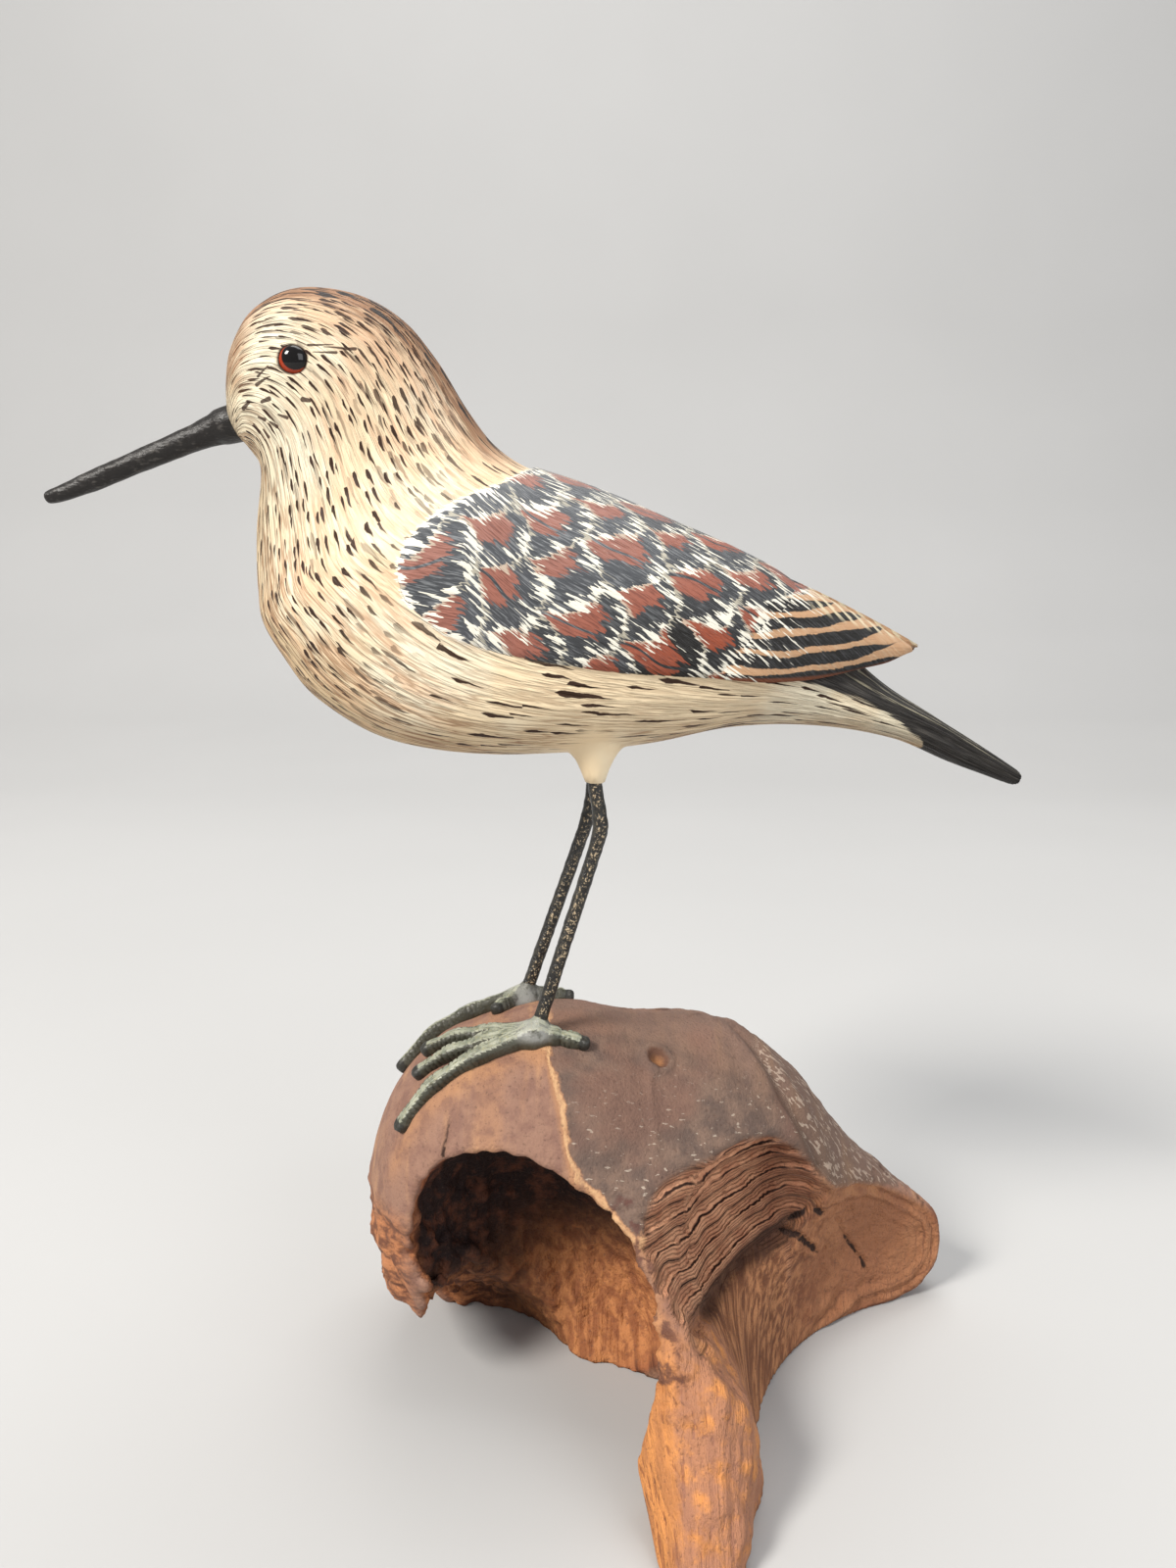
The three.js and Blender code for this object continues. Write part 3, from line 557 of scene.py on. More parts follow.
# Body coat: cream with peach and ivory patches, tan painted shade on the lower belly, and brown
# stain with painted shade in the gouge cuts, stronger towards the underside.
from_thigh = calc(t, "ABSOLUTE", calc(t, "SUBTRACT", place_x, THIGH_X + bird_at[0]))
patches = noise_of(t, stretched(t, place, (0.045, 0.045, 0.045)), detail=3)
streaks = noise_of(t, stretched(t, flow, (0.05, 0.42, 1)), detail=3, roughness=0.6)
over_thigh = times_plus(t, from_thigh, 0.55, place_z)
off_thigh = rising(t, times_plus(t, streaks, 6.0, over_thigh), 157.5, 164.0)
coat = colour_mix(t, rising(t, patches, 0.42, 0.62), CREAM, IVORY)
neck = times(t, rising(t, run_at, 26.0, 42.0), falling(t, run_at, 78.0, 105.0))
peach = times(t, neck, rising(t, streaks, 0.42, 0.62))
coat = coated(t, coat, PEACH, peach, 0.8)
cuts_fine = noise_of(t, stretched(t, flow, (0.045, 0.66, 1)), detail=3, roughness=0.55, distortion=0.25)
ridge = calc(t, "ABSOLUTE", times_plus(t, cuts_fine, 2.0, -1.0))
groove_stain_and_shade = times(t, falling(t, ridge, 0.0, 0.11), off_thigh)
hair = noise_of(t, stretched(t, flow, (0.12, 2.6, 1)), detail=2)
# Towards the underside, where the gouge cuts take more painted shade.
below = falling(t, girth_at, -68.0, 0.0)
# Painted shade: tan darkening the lower belly, where less light reaches.
belly_shade = times(t, falling(t, girth_at, -80.0, -25.0), times_plus(t, off_thigh, 0.4, 0.3))
coat = colour_mix(t, belly_shade, coat, (0.52, 0.36, 0.185))
# Brown stain and painted shade in the gouge cuts, stronger towards the underside.
coat = colour_mix(t, times(t, groove_stain_and_shade, times_plus(t, below, 0.75, 0.25)), coat, (0.24, 0.12, 0.055))
coat = colour_mix(t, times(t, rising(t, hair, 0.55, 0.75), off_thigh, 0.18), coat, TAN_SHADE)

# Dashes: fine ones on the head and neck, longer ones on the breast and flanks, broad dark ones
# on the brown crown and nape.
head = falling(t, run_at, 62.0, 92.0)
crown_ends = falling(t, run_at, 84.0, 104.0)
crown_noise = noise_of(t, stretched(t, flow, (0.09, 0.5, 1)), detail=3)
over_head = times_plus(t, falling(t, run_at, 44.0, 66.0), 15.0, -13.0)
crown_line = times_plus(t, crown_noise, 46.0, calc(t, "ADD", girth_at, over_head))
crown = times(t, rising(t, crown_line, 66.0, 84.0), crown_ends)
tinge = times(t, rising(t, crown_line, 44.0, 66.0), crown_ends)
coat = coated(t, coat, (0.58, 0.34, 0.20), tinge, 0.4)
coat = coated(t, coat, CROWN, crown, 0.9)
off_belly = rising(t, girth_at, -88.0, -70.0)
on_flank = times(t, off_belly, rising(t, run_at, 84.0, 112.0))
DASH_INPUTS = ("Spacing along", "Spacing across", "Length", "Width", "Keep", "Turn")
# numbers for these inputs, where the dashes are, their colour and strength
layers = [
    ((5.0, 2.0, 4.8, 0.74, 0.9, 0.0), head, UMBER, 1.0),
    ((6.0, 2.6, 5.6, 0.92, 0.8, 13.3), times(t, head, rising(t, girth_at, 0.0, 35.0)), UMBER, 0.95),
    ((9.2, 4.4, 9.4, 0.95, 0.85, 3.7), times(t, off_belly, opposite(t, times(t, head, 0.55))), UMBER, 1.0),
    ((14.0, 6.2, 14.0, 1.15, 0.6, 9.1), on_flank, UMBER, 1.0),
    ((8.0, 5.0, 7.5, 2.4, 0.85, 17.3), crown, (0.028, 0.026, 0.026), 0.95),
]
for numbers, where, ink, strength in layers:
    mark = use_group(t, dashes, {"Flow": flow, **dict(zip(DASH_INPUTS, numbers))})["Mask"]
    strength = times(t, off_thigh, strength)
    coat = colour_mix(t, times(t, strength, mark, where), coat, ink)

# Brush lines on the face, in mm from the middle of the eye: behind it, before it, on the cheek
# and at the root of the bill, the same on both sides of the head.
# from, to, breadth at each end
FACE_LINES = [
    ((3.2, 3.0), (8.2, 3.2), 0.3, 0.1), ((6.4, 2.7), (12.6, 2.5), 0.1, 0.36),
    ((4.2, 1.5), (8.8, 1.6), 0.1, 0.3),
    ((-5.2, -1.2), (-7.4, -3.4), 0.1, 0.3), ((-4.8, -3.4), (-7.8, -5.0), 0.1, 0.4),
    ((-7.0, -8.3), (-5.4, -7.8), 0.36, 0.5), ((-11.4, -9.4), (-10.0, -8.4), 0.45, 0.3),
    ((-8.2, -11.4), (-6.8, -12.0), 0.2, 0.4), ((-5.6, -12.5), (-4.2, -13.3), 0.2, 0.4),
    ((-9.6, -12.6), (-8.5, -14.2), 0.2, 0.36), ((-7.4, -13.8), (-6.4, -15.2), 0.2, 0.36),
    ((-3.6, -11.0), (-1.8, -11.6), 0.2, 0.36), ((1.8, -7.9), (3.2, -8.2), 0.5, 0.4),
]
eye_x, eye_z = eye_middles[0].x, eye_middles[0].z
side_view = stretched(t, vector(t, "SUBTRACT", place, (eye_x, 0, eye_z)), (1, 0, 1))
waver = noise_of(t, stretched(t, place, (0.16, 0, 0.16)), detail=1)
side_view = vector(t, "ADD", side_view, joined(t, 0.0, 0.0, times_plus(t, waver, 1.0, -0.5)))
ahead_x, _, ahead_z = parts(t, side_view)
brow = times(t, falling(t, ahead_x, -13.0, -7.0), rising(t, ahead_z, -8.0, -3.0))
coat = colour_mix(t, times(t, brow, rising(t, streaks, 0.3, 0.6), 0.75), coat, (0.36, 0.19, 0.10))
face_mark = 0.0
for start, end, breadth_from, breadth_to in FACE_LINES:
    face_mark = use_group(t, line, {
        "Place": side_view, "From": (start[0], 0, start[1]), "To": (end[0], 0, end[1]),
        "Breadth from": breadth_from, "Breadth to": breadth_to, "Before": face_mark})["Mask"]
coat = coated(t, coat, (0.05, 0.024, 0.015), face_mark, 0.92)
from_eye = vector(t, "LENGTH", side_view)
rim = falling(t, from_eye, 2.9, 3.5)
coat = colour_mix(t, rim, coat, (0.05, 0.03, 0.022))

# Wing coverts: feathers that overlap like tiles. Each has a rust lobe, a dark border behind and
# below it, and pale barbs brushed back over the next feather.
FEATHER_LONG, FEATHER_ROWS, TIP_CURVE = 17.0, 18.0, 0.09
covert, given, result = new_group(
    "covert feathers",
    [("Place", "Vector", (0, 0, 0)), ("Shift along", "Float", 0.0), ("Shift across", "Float", 0.0)],
    [("Ahead of tip", "Float"), ("Off middle", "Float"), ("Chance", "Vector")])
g = covert
xyz = parts(g, given["Place"])
row = times_plus(g, xyz[1], 1 / FEATHER_ROWS, given["Shift across"])
row_number = calc(g, "FLOOR", row)
off = times(g, calc(g, "SUBTRACT", calc(g, "SUBTRACT", row, row_number), 0.5), FEATHER_ROWS)
along = times_plus(g, times(g, off, off), TIP_CURVE, xyz[0])
along = times_plus(g, along, 1 / FEATHER_LONG, given["Shift along"])
along = times_plus(g, row_number, 0.13, along)
number = calc(g, "FLOOR", along)
ahead = times(g, opposite(g, calc(g, "SUBTRACT", along, number)), FEATHER_LONG)
identity = joined(g, number, row_number, given["Shift across"])
g.links.new(ahead, result["Ahead of tip"])
g.links.new(off, result["Off middle"])
chance = put(g, "TexWhiteNoise", {0: identity}, noise_dimensions="3D").outputs["Color"]
g.links.new(chance, result["Chance"])


def oval(tree, p, q, middle, half):
    """How far out of an oval a place is: 0 in its middle, 1 on its edge."""
    dx = times(tree, calc(tree, "SUBTRACT", p, middle[0]), 1 / half[0])
    dy = times(tree, calc(tree, "SUBTRACT", q, middle[1]), 1 / half[1])
    return calc(tree, "SQRT", calc(tree, "ADD", times(tree, dx, dx), times(tree, dy, dy)))


along_row, _, share_up = parts(t, feathers)
# The brush strokes point back and a little down across the rows.
stroke_at = put(t, "Mapping", {
    "Vector": feathers, "Rotation": (0, 0, math.radians(9)), "Scale": (5.6, 0.7, 1),
}, vector_type="TEXTURE").outputs[0]
strokes = noise_of(t, stroke_at, detail=2, roughness=0.5)
fine_strokes = noise_of(t, stretched(t, stroke_at, (1.6, 2.6, 1)), detail=2)
ragged = times_plus(t, strokes, 2.0, -1.0)
bend_x = noise_of(t, stretched(t, feathers, (0.06, 0.08, 0)), detail=1)
bend_y = noise_of(t, stretched(t, vector(t, "ADD", feathers, (40, 90, 0)), (0.06, 0.08, 0)), detail=1)
bend_along = times_plus(t, ragged, 3.4, times_plus(t, bend_x, 11.0, -5.5))
bend = joined(t, bend_along, times_plus(t, bend_y, 9.0, -4.5))
bent = vector(t, "ADD", feathers, bend)
tiles = [
    use_group(t, covert, {"Place": bent, "Shift along": shift, "Shift across": shift})
    for shift in (0.0, 0.5)]
ahead_of = [tile["Ahead of tip"] for tile in tiles]
over = calc(t, "LESS_THAN", ahead_of[0], ahead_of[1])
ahead = calc(t, "MINIMUM", *ahead_of)
past = calc(t, "SUBTRACT", FEATHER_LONG, calc(t, "MAXIMUM", *ahead_of))
off_middle = put(t, "Mix", {
    0: over, 2: tiles[1]["Off middle"], 3: tiles[0]["Off middle"]}, data_type="FLOAT").outputs[0]
luck = parts(t, put(t, "Mix", {
    0: over, 4: tiles[1]["Chance"], 5: tiles[0]["Chance"]}, data_type="VECTOR").outputs[1])
older = falling(t, along_row, -30.0, 10.0)
older = times_plus(t, older, 0.65, times(t, rising(t, share_up, 0.2, 0.7), 0.45))
aged = times_plus(t, luck[2], 0.4, calc(t, "SUBTRACT", older, 0.1), clamp=True)
covert_coat = colour_mix(t, aged, BLACK, SLATE)
grey_hairs = times(t, rising(t, fine_strokes, 0.5, 0.64), times_plus(t, aged, 0.55, 0.06))
covert_coat = colour_mix(t, grey_hairs, covert_coat, (0.27, 0.28, 0.29))
lobe = times_plus(t, ragged, 0.35, oval(t, ahead, off_middle, (10.4, -1.6), (5.9, 4.9)))
rust_paint = colour_mix(t, times_plus(t, luck[1], 0.3, older, clamp=True), RUST, DUSKY)
dark_hairs = times(t, rising(t, fine_strokes, 0.5, 0.64), 0.6)
rust_paint = colour_mix(t, dark_hairs, rust_paint, (0.12, 0.04, 0.03))
covert_coat = colour_mix(t, falling(t, lobe, 0.94, 1.04), covert_coat, rust_paint)
edge_band = falling(t, times_plus(t, ragged, 2.4, past), 0.2, 1.1)
covert_coat = coated(t, covert_coat, (0.60, 0.55, 0.43), edge_band, 0.6)
from_edge = calc(t, "MINIMUM", ahead, times(t, past, 0.7))
barb_limit = times_plus(t, from_edge, 0.045, times_plus(t, bend_x, 0.12, 0.455))
barbs = rising(t, calc(t, "SUBTRACT", strokes, barb_limit), -0.004, 0.018)
covert_coat = colour_mix(t, barbs, covert_coat, BARB)

# Flight feathers: tan with broad black stripes along the lower edge's line, which taper out
# before the tip, and a ladder of pale strokes along the upper edge.
spot_x, _, spot_z = parts(t, vector(t, "SUBTRACT", place, tuple(bird_at)))
along_wing = times(t, spot_x, 1 / BIRD)
up_wing = times(t, spot_z, 1 / BIRD)
start = calc(t, "MAXIMUM", times_plus(t, up_wing, 0.7, 5.6), times_plus(t, up_wing, 4.0, -45.0))
behind = calc(t, "SUBTRACT", along_wing, start)
flight = rising(t, times_plus(t, ragged, 2.6, behind), -0.25, 0.25)
wave = noise_of(t, stretched(t, place, (0.07, 0.0, 0.2)), detail=2)
from_middle = calc(t, "SUBTRACT", along_wing, 17.0)
lower_edge = times_plus(t, times(t, from_middle, from_middle), 0.009, 8.2)
stripe = times_plus(t, wave, 0.9, times(t, calc(t, "SUBTRACT", up_wing, lower_edge), 0.6))
stripe_number = calc(t, "FLOOR", stripe)
chance = put(t, "TexWhiteNoise", {"W": stripe_number}, noise_dimensions="1D").outputs["Value"]
stripe_end = times_plus(t, chance, 3.0, times_plus(t, stripe_number, -1.6, 31.0))
taper = falling(t, calc(t, "SUBTRACT", along_wing, stripe_end), -5.0, 0.5)
taper = times(t, taper, falling(t, share_up, 0.86, 0.97))
stripe_half = times(t, times_plus(t, ragged, 0.1, 0.34), taper)
off_stripe = calc(t, "ABSOLUTE", calc(t, "SUBTRACT", calc(t, "SUBTRACT", stripe, stripe_number), 0.5))
black_stripe = rising(t, calc(t, "SUBTRACT", stripe_half, off_stripe), -0.02, 0.03)
flight_coat = coated(t, BUFF, (0.56, 0.42, 0.28), rising(t, strokes, 0.45, 0.7), 0.4)
stripe_black = coated(t, BLACK, (0.10, 0.10, 0.105), rising(t, fine_strokes, 0.5, 0.66), 0.5)
flight_coat = colour_mix(t, black_stripe, flight_coat, stripe_black)
rungs = calc(t, "FRACT", times_plus(t, up_wing, 0.75, times(t, along_wing, 0.95)))
ladder = times(t, rising(t, along_wing, 20.5, 22.0), rising(t, share_up, 0.66, 0.78))
ladder = times(t, ladder, falling(t, times_plus(t, ragged, 0.3, rungs), 0.32, 0.42))
flight_coat = coated(t, flight_coat, (0.66, 0.58, 0.40), ladder, 0.8)
lower_line = falling(t, calc(t, "SUBTRACT", up_wing, lower_edge), 0.05, 0.35)
flight_coat = coated(t, flight_coat, (0.22, 0.07, 0.03), lower_line, 0.75)
barb_limit = times_plus(t, behind, 0.035, 0.475)
barb_ends = rising(t, calc(t, "SUBTRACT", strokes, barb_limit), -0.004, 0.018)
flight_coat = colour_mix(t, barb_ends, flight_coat, BARB)
wing_coat = colour_mix(t, flight, covert_coat, flight_coat)

# The pale brushed border along the front of the wing, and the wing laid over the body coat.
front = falling(t, along_wing, -12.5, -6.0)
front = calc(t, "MAXIMUM", front, rising(t, up_wing, 21.0, 24.0))
border_inside = times_plus(t, ragged, -7.5, wing)
border_outside = times_plus(t, fine_strokes, 3.0, wing)
border = times(t, rising(t, border_outside, 0.9, 1.4), falling(t, border_inside, 0.4, 0.8))
border = times(t, border, front, falling(t, along_wing, 0.0, 6.0))
on_wing = rising(t, times_plus(t, ragged, 0.35, wing), -0.1, 0.15)

# Tail: slate black above a ragged edge, with a few thin pale lines along its top.
tail_edge = put(t, "FloatCurve", {1: times_plus(t, along_wing, 0.05, -0.85)})
tail_curve = tail_edge.mapping.curves[0]
for x, z in ((0.06, 0.85), (0.30, 0.71), (0.55, 0.51), (0.76, 0.22)):
    tail_curve.points.new(x, z)
tail_curve.points[0].location = (0.0, 0.9)
tail_curve.points[-1].location = (1.0, 0.0)
tail_edge.mapping.update()
above = calc(t, "SUBTRACT", times(t, up_wing, 0.1), tail_edge.outputs[0])
tail_strokes = noise_of(t, stretched(t, flow, (0.12, 1.4, 1)), detail=3)
tail_ragged = times_plus(t, tail_strokes, 0.12, -0.06)
above = calc(t, "ADD", above, rising(t, along_wing, 32.0, 36.5))
on_tail = rising(t, calc(t, "ADD", above, tail_ragged), -0.01, 0.015)
on_tail = times(t, on_tail, calc(t, "GREATER_THAN", along_wing, 15.0))
tail_coat = colour_mix(t, rising(t, tail_strokes, 0.4, 0.7), (0.024, 0.022, 0.021), (0.075, 0.068, 0.06))
tail_line = calc(t, "FRACT", times(t, times_plus(t, tail_strokes, 16.0, girth_at), 1 / 17))
tail_line = falling(t, calc(t, "ABSOLUTE", calc(t, "SUBTRACT", tail_line, 0.5)), 0.04, 0.12)
tail_line = times(t, tail_line, rising(t, girth_at, 24.0, 34.0), rising(t, along_wing, 23.0, 27.0))
tail_coat = coated(t, tail_coat, (0.42, 0.38, 0.27), tail_line, 0.8)
coat = colour_mix(t, on_tail, coat, tail_coat)
coat = colour_mix(t, on_wing, coat, wing_coat)
coat = colour_mix(t, border, coat, (0.85, 0.81, 0.70))
shader.inputs["Specular IOR Level"].default_value = 0.22

gloss = colour_mix(t, on_wing, (0.5, 0.5, 0.5), (0.34, 0.34, 0.34))
gloss = colour_mix(t, on_tail, gloss, (0.36, 0.36, 0.36))
gloss = times_plus(t, hair, 0.16, calc(t, "SUBTRACT", gloss, 0.06))
plain = times(t, off_thigh, opposite(t, times(t, on_wing, 0.8)))
cut_height = times(t, times_plus(t, rising(t, ridge, 0.0, 0.3), 0.8, times(t, hair, 0.25)), plain)
wing_height = times(t, times_plus(t, fine_strokes, 0.5, strokes), on_wing)
relief = calc(t, "ADD", cut_height, wing_height)
finish_paint(t, shader, coat, gloss, relief, 0.9, 0.00055)
bird.data.materials.append(painted)
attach(bird, "root")
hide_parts("bird_body")

# Bill
# A long bill of hard wood let into the face, a little lumpy from the knife, drooping at the
# tip, and painted a satin black that has worn grey along its ridges.
# x, z, half height, half width, from the root to the tip
BILL_PLAN = np.array([
    [-33.2, 32.6, 1.82, 2.15], [-35.2, 32.1, 1.75, 1.75], [-36.3, 31.7, 1.45, 1.45],
    [-38.6, 30.8, 1.22, 1.2], [-43.2, 29.0, 1.08, 1.05], [-47.9, 27.1, 0.98, 0.95],
    [-51.0, 25.9, 0.8, 0.8], [-52.6, 25.4, 0.62, 0.6], [-52.95, 25.28, 0.3, 0.3],
])
BILL_LEAN = math.atan2(32.1 - 27.1, 47.9 - 35.2)
BILL_LUMPS = 0.14
plan = through(BILL_PLAN, np.concatenate([np.linspace(0, 7, 90), np.linspace(7.1, 8, 6)]))
turn = np.linspace(0, 2 * np.pi, 40, endpoint=False)
lean = np.interp(plan[:, 0], [-36.3, -33.4], [BILL_LEAN, BILL_LEAN - 0.12])
up = plan[:, 2:3] * np.sin(turn)
ring = np.stack([
    plan[:, 0:1] - np.sin(lean)[:, None] * up,
    plan[:, 3:4] * np.cos(turn),
    plan[:, 1:2] + np.cos(lean)[:, None] * up,
], -1).reshape(-1, 3) * BIRD
centres = np.repeat(np.stack([plan[:, 0], 0 * plan[:, 0], plan[:, 1]], -1) * BIRD, len(turn), 0)
outward = ring - centres
outward /= np.maximum(np.linalg.norm(outward, axis=1, keepdims=True), 1e-9)
ring += outward * (BILL_LUMPS * rough(ring * (0.35, 1, 1), 2.2, seed=5))[:, None]
points, faces = capped(ring, len(plan), len(turn))
bill = make_piece("carved_bill", points + bird_at, facing_out(points, faces))

bill_paint, t, shader = new_paint("painted_bill")
place = place_mm(t)
lumps = noise_of(t, place, scale=0.6, detail=4, roughness=0.6)
grain = noise_of(t, stretched(t, place, (0.4, 2.2, 2.2)), detail=3)
wear_and_highlight = rising(t, times(t, lumps, grain), 0.27, 0.42)
bill_coat = coated(t, (0.014, 0.012, 0.011), (0.11, 0.1, 0.09), wear_and_highlight, 0.5)
shader.inputs["Specular IOR Level"].default_value = 0.3
relief = calc(t, "ADD", lumps, times(t, grain, 0.5))
finish_paint(t, shader, bill_coat, times_plus(t, lumps, 0.3, 0.25), relief, 0.6, 0.0004)
bill.data.materials.append(bill_paint)
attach(bill, "root")
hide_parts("bill")

# Eyes
# Domed glass eyes of 6 mm, black with an orange rim painted on the back of the glass, set
# into round sockets in the cheeks.
EYE_PROUD, EYE_SEAT, SEAT_SHARE = 1.9, 1.6, 0.8  # dome and seat in mm, the seat's breadth
glass, t, shader = new_paint("eye_glass")
place = place_mm(t)
side_view = stretched(t, vector(t, "SUBTRACT", place, (eye_x, 0, eye_z)), (1, 0, 1))
from_pupil = vector(t, "LENGTH", vector(t, "SUBTRACT", side_view, (0.6, 0, 0.5)))
iris = rising(t, from_pupil, 2.62, 2.8)
veins = noise_of(t, side_view, scale=2.2, detail=2)
iris_colour = colour_mix(t, veins, (0.42, 0.045, 0.008), (0.2, 0.02, 0.006))
eye_colour = colour_mix(t, iris, (0.006, 0.005, 0.005), iris_colour)
outer_rim = rising(t, vector(t, "LENGTH", side_view), 2.78, 2.95)
t.links.new(colour_mix(t, outer_rim, eye_colour, (0.02, 0.008, 0.005)), shader.inputs["Base Color"])
shader.inputs["Roughness"].default_value = 0.06
shader.inputs["Specular IOR Level"].default_value = 0.35
for name, side in (("eye_left", -1), ("eye_right", 1)):
    low, high = (np.array(corner) * 1000 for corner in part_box(name))
    centre, radius = (low + high) / 2, (high[2] - low[2]) / 2
    rings_of_eye = np.linspace(0, np.pi / 2, 26)
    turn = np.linspace(0, 2 * np.pi, 56, endpoint=False)
    out = side * (radius - EYE_PROUD + EYE_PROUD * np.cos(rings_of_eye))[:, None] + 0 * turn
    flat = radius * np.sin(rings_of_eye)[:, None]
    dome = np.stack([flat * np.cos(turn), out, flat * np.sin(turn)], -1)
    back = dome[-1:] * (SEAT_SHARE, 1, SEAT_SHARE) - np.array([0, side * EYE_SEAT, 0])
    dome = np.concatenate([dome[1:], back])
    points, faces = capped(dome.reshape(-1, 3), len(dome), len(turn))
    points[-2] = (0, side * radius, 0)
    eye = make_piece(name.replace("eye", "glass_eye"), points + centre, facing_out(points, faces))
    eye.data.materials.append(glass)
    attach(eye, "root")
    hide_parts(name)

# Driftwood
# One piece of weathered root, worn to a dome on top. A hollow is rotted out under its left
# side, a channel worn down its front shows the growth rings as nested ridges, and the root
# runs out forward and to the right.
WOOD = 1.5  # a hundredth of the wood's length, mm
WOOD_CELL, WOOD_LOW, WOOD_HIGH = 0.85, (-60, -84, -2), (100, 56, 94)  # mesh size and bounds, mm
wood_at = np.array([bird_at[0], bird_at[1], 0.0])


def soft_union(a, b, blend):
    """The nearer of two distances, rounded over a blend in mm where they meet."""
    overlap = np.maximum(blend - np.abs(a - b), 0) / blend
    return np.minimum(a, b) - overlap * overlap * blend / 4


def soft_cut(a, b, blend):
    """The farther of two distances, rounded in the same way."""
    return -soft_union(-a, b, blend)


def boulder(p, centre, radii, tilt=0.0):
    """Distance to an ellipsoid whose long axis may be tilted in the side view."""
    turn = math.radians(tilt)
    dx, dy, dz = p[..., 0] - centre[0], p[..., 1] - centre[1], p[..., 2] - centre[2]
    x = (dx * math.cos(turn) + dz * math.sin(turn)) / radii[0]
    z = (dz * math.cos(turn) - dx * math.sin(turn)) / radii[2]
    y = dy / radii[1]
    near = np.sqrt(x * x + y * y + z * z)
    slope = np.sqrt((x / radii[0]) ** 2 + (y / radii[1]) ** 2 + (z / radii[2]) ** 2)
    return near * (near - 1) / np.maximum(slope, 1e-9)


def limb(p, start, end, start_radius, end_radius):
    """Distance to a round limb that runs from one ball to another."""
    start, axis = np.array(start, p.dtype), np.array(end, p.dtype) - np.array(start, p.dtype)
    offset = p - start
    share = np.clip(offset @ axis / (axis @ axis), 0, 1)
    offset = offset - share[..., None] * axis
    return np.sqrt((offset ** 2).sum(-1)) - (start_radius + (end_radius - start_radius) * share)


def whole_wood(place):
    """Distance in mm to the root before anything was worn out of it."""
    p = place / WOOD
    wood = soft_union(boulder(p, (-5.3, 1.3, 25.3), (28.6, 25.3, 32.9)),
                      boulder(p, (-18, 1, 30), (15.6, 21, 23)), 6.7)
    wood = soft_union(wood, boulder(p, (14.7, 6.7, 24.5), (24, 24, 30)), 6.7)
    wood = soft_union(wood, limb(p, (25.3, 10.7, 28), (53.3, 13.3, 10), 15.3, 10), 10.7)
    wood = soft_union(wood, limb(p, (14.7, -17.3, 22.7), (14.8, -49.3, -1.3), 13.3, 5), 9.3)
    wood = soft_union(wood, limb(p, (41.3, 13.3, 5.3), (22.7, -13.3, 1.3), 9, 7), 8)
    wood = soft_union(wood, limb(p, (-22.7, 8, 29.3), (-20, 16, 5.3), 10.7, 7.5), 8)
    wood = soft_union(wood, boulder(p, (5.3, 20, 14.7), (30.7, 12, 20)), 10.7)
    return soft_union(wood, limb(p, (19, -33, 0), (31, -9, 2), 5, 8), 8) * WOOD


def hollow_of(place):
    """Distance to the hollow rotted out under the left side."""
    p = place / WOOD
    return soft_union(boulder(p, (-5.5, -20, 19.3), (27, 22.7, 17), -52),
                      boulder(p, (-24, -10.7, -1.3), (22, 22, 16)), 5.3) * WOOD


def channel_of(place):
    """Distance to the channel worn down the front."""
    p = place / WOOD
    gully = soft_union(limb(p, (29, -17, 28.8), (29, -48, 34), 14.4, 19),
                       boulder(p, (19.3, -29.3, 37.6), (13.6, 12.4, 12.6)), 7)
    bay = soft_union(limb(p, (37, -20, 19), (50, -24, 14), 14.5, 20),
                     boulder(p, (66.5, -29.1, 10), (43, 43, 39.5)), 8)
    return soft_union(gully, bay, 8) * WOOD


def crumbs(place, size):
    """Rounded lumps of a size in mm, about -1 to 1."""
    x, y, z = np.moveaxis(place * (2 * math.pi / size), -1, 0)
    return (np.sin(x + 1.9 * np.sin(0.7 * y + 0.4)) + np.sin(0.9 * y + 1.7 * np.sin(0.8 * z + 1.1))
            + np.sin(1.1 * z + 1.8 * np.sin(0.6 * x + 2.0))) / 3


def rot_at(place):
    """The share of rot: all of it low down on the left, none on the right or at the top."""
    return step(-place[..., 0], 14, 34) * (1 - step(place[..., 2], 40, 58))


def worn_wood(place):
    """Distance to the wood as it is, which stands on the ground at z = 0."""
    lumps = 1.7 * crumbs(place, 15.0) + 1.3 * crumbs(place, 7.1)
    ragged = 0.45 * crumbs(place, 5.3) + rot_at(place) * lumps
    wood = soft_cut(whole_wood(place), hollow_of(place) + ragged, 2.0)
    wood = soft_cut(wood, channel_of(place), 2.0)
    return np.maximum(wood, -place[..., 2])


def slope_of(field, place, reach=0.1):
    """The outward direction of a distance field at places in mm."""
    steps = np.eye(3) * reach
    slope = np.stack([field(place + s) - field(place - s) for s in steps], -1)
    return slope / np.maximum(np.linalg.norm(slope, axis=-1, keepdims=True), 1e-9)


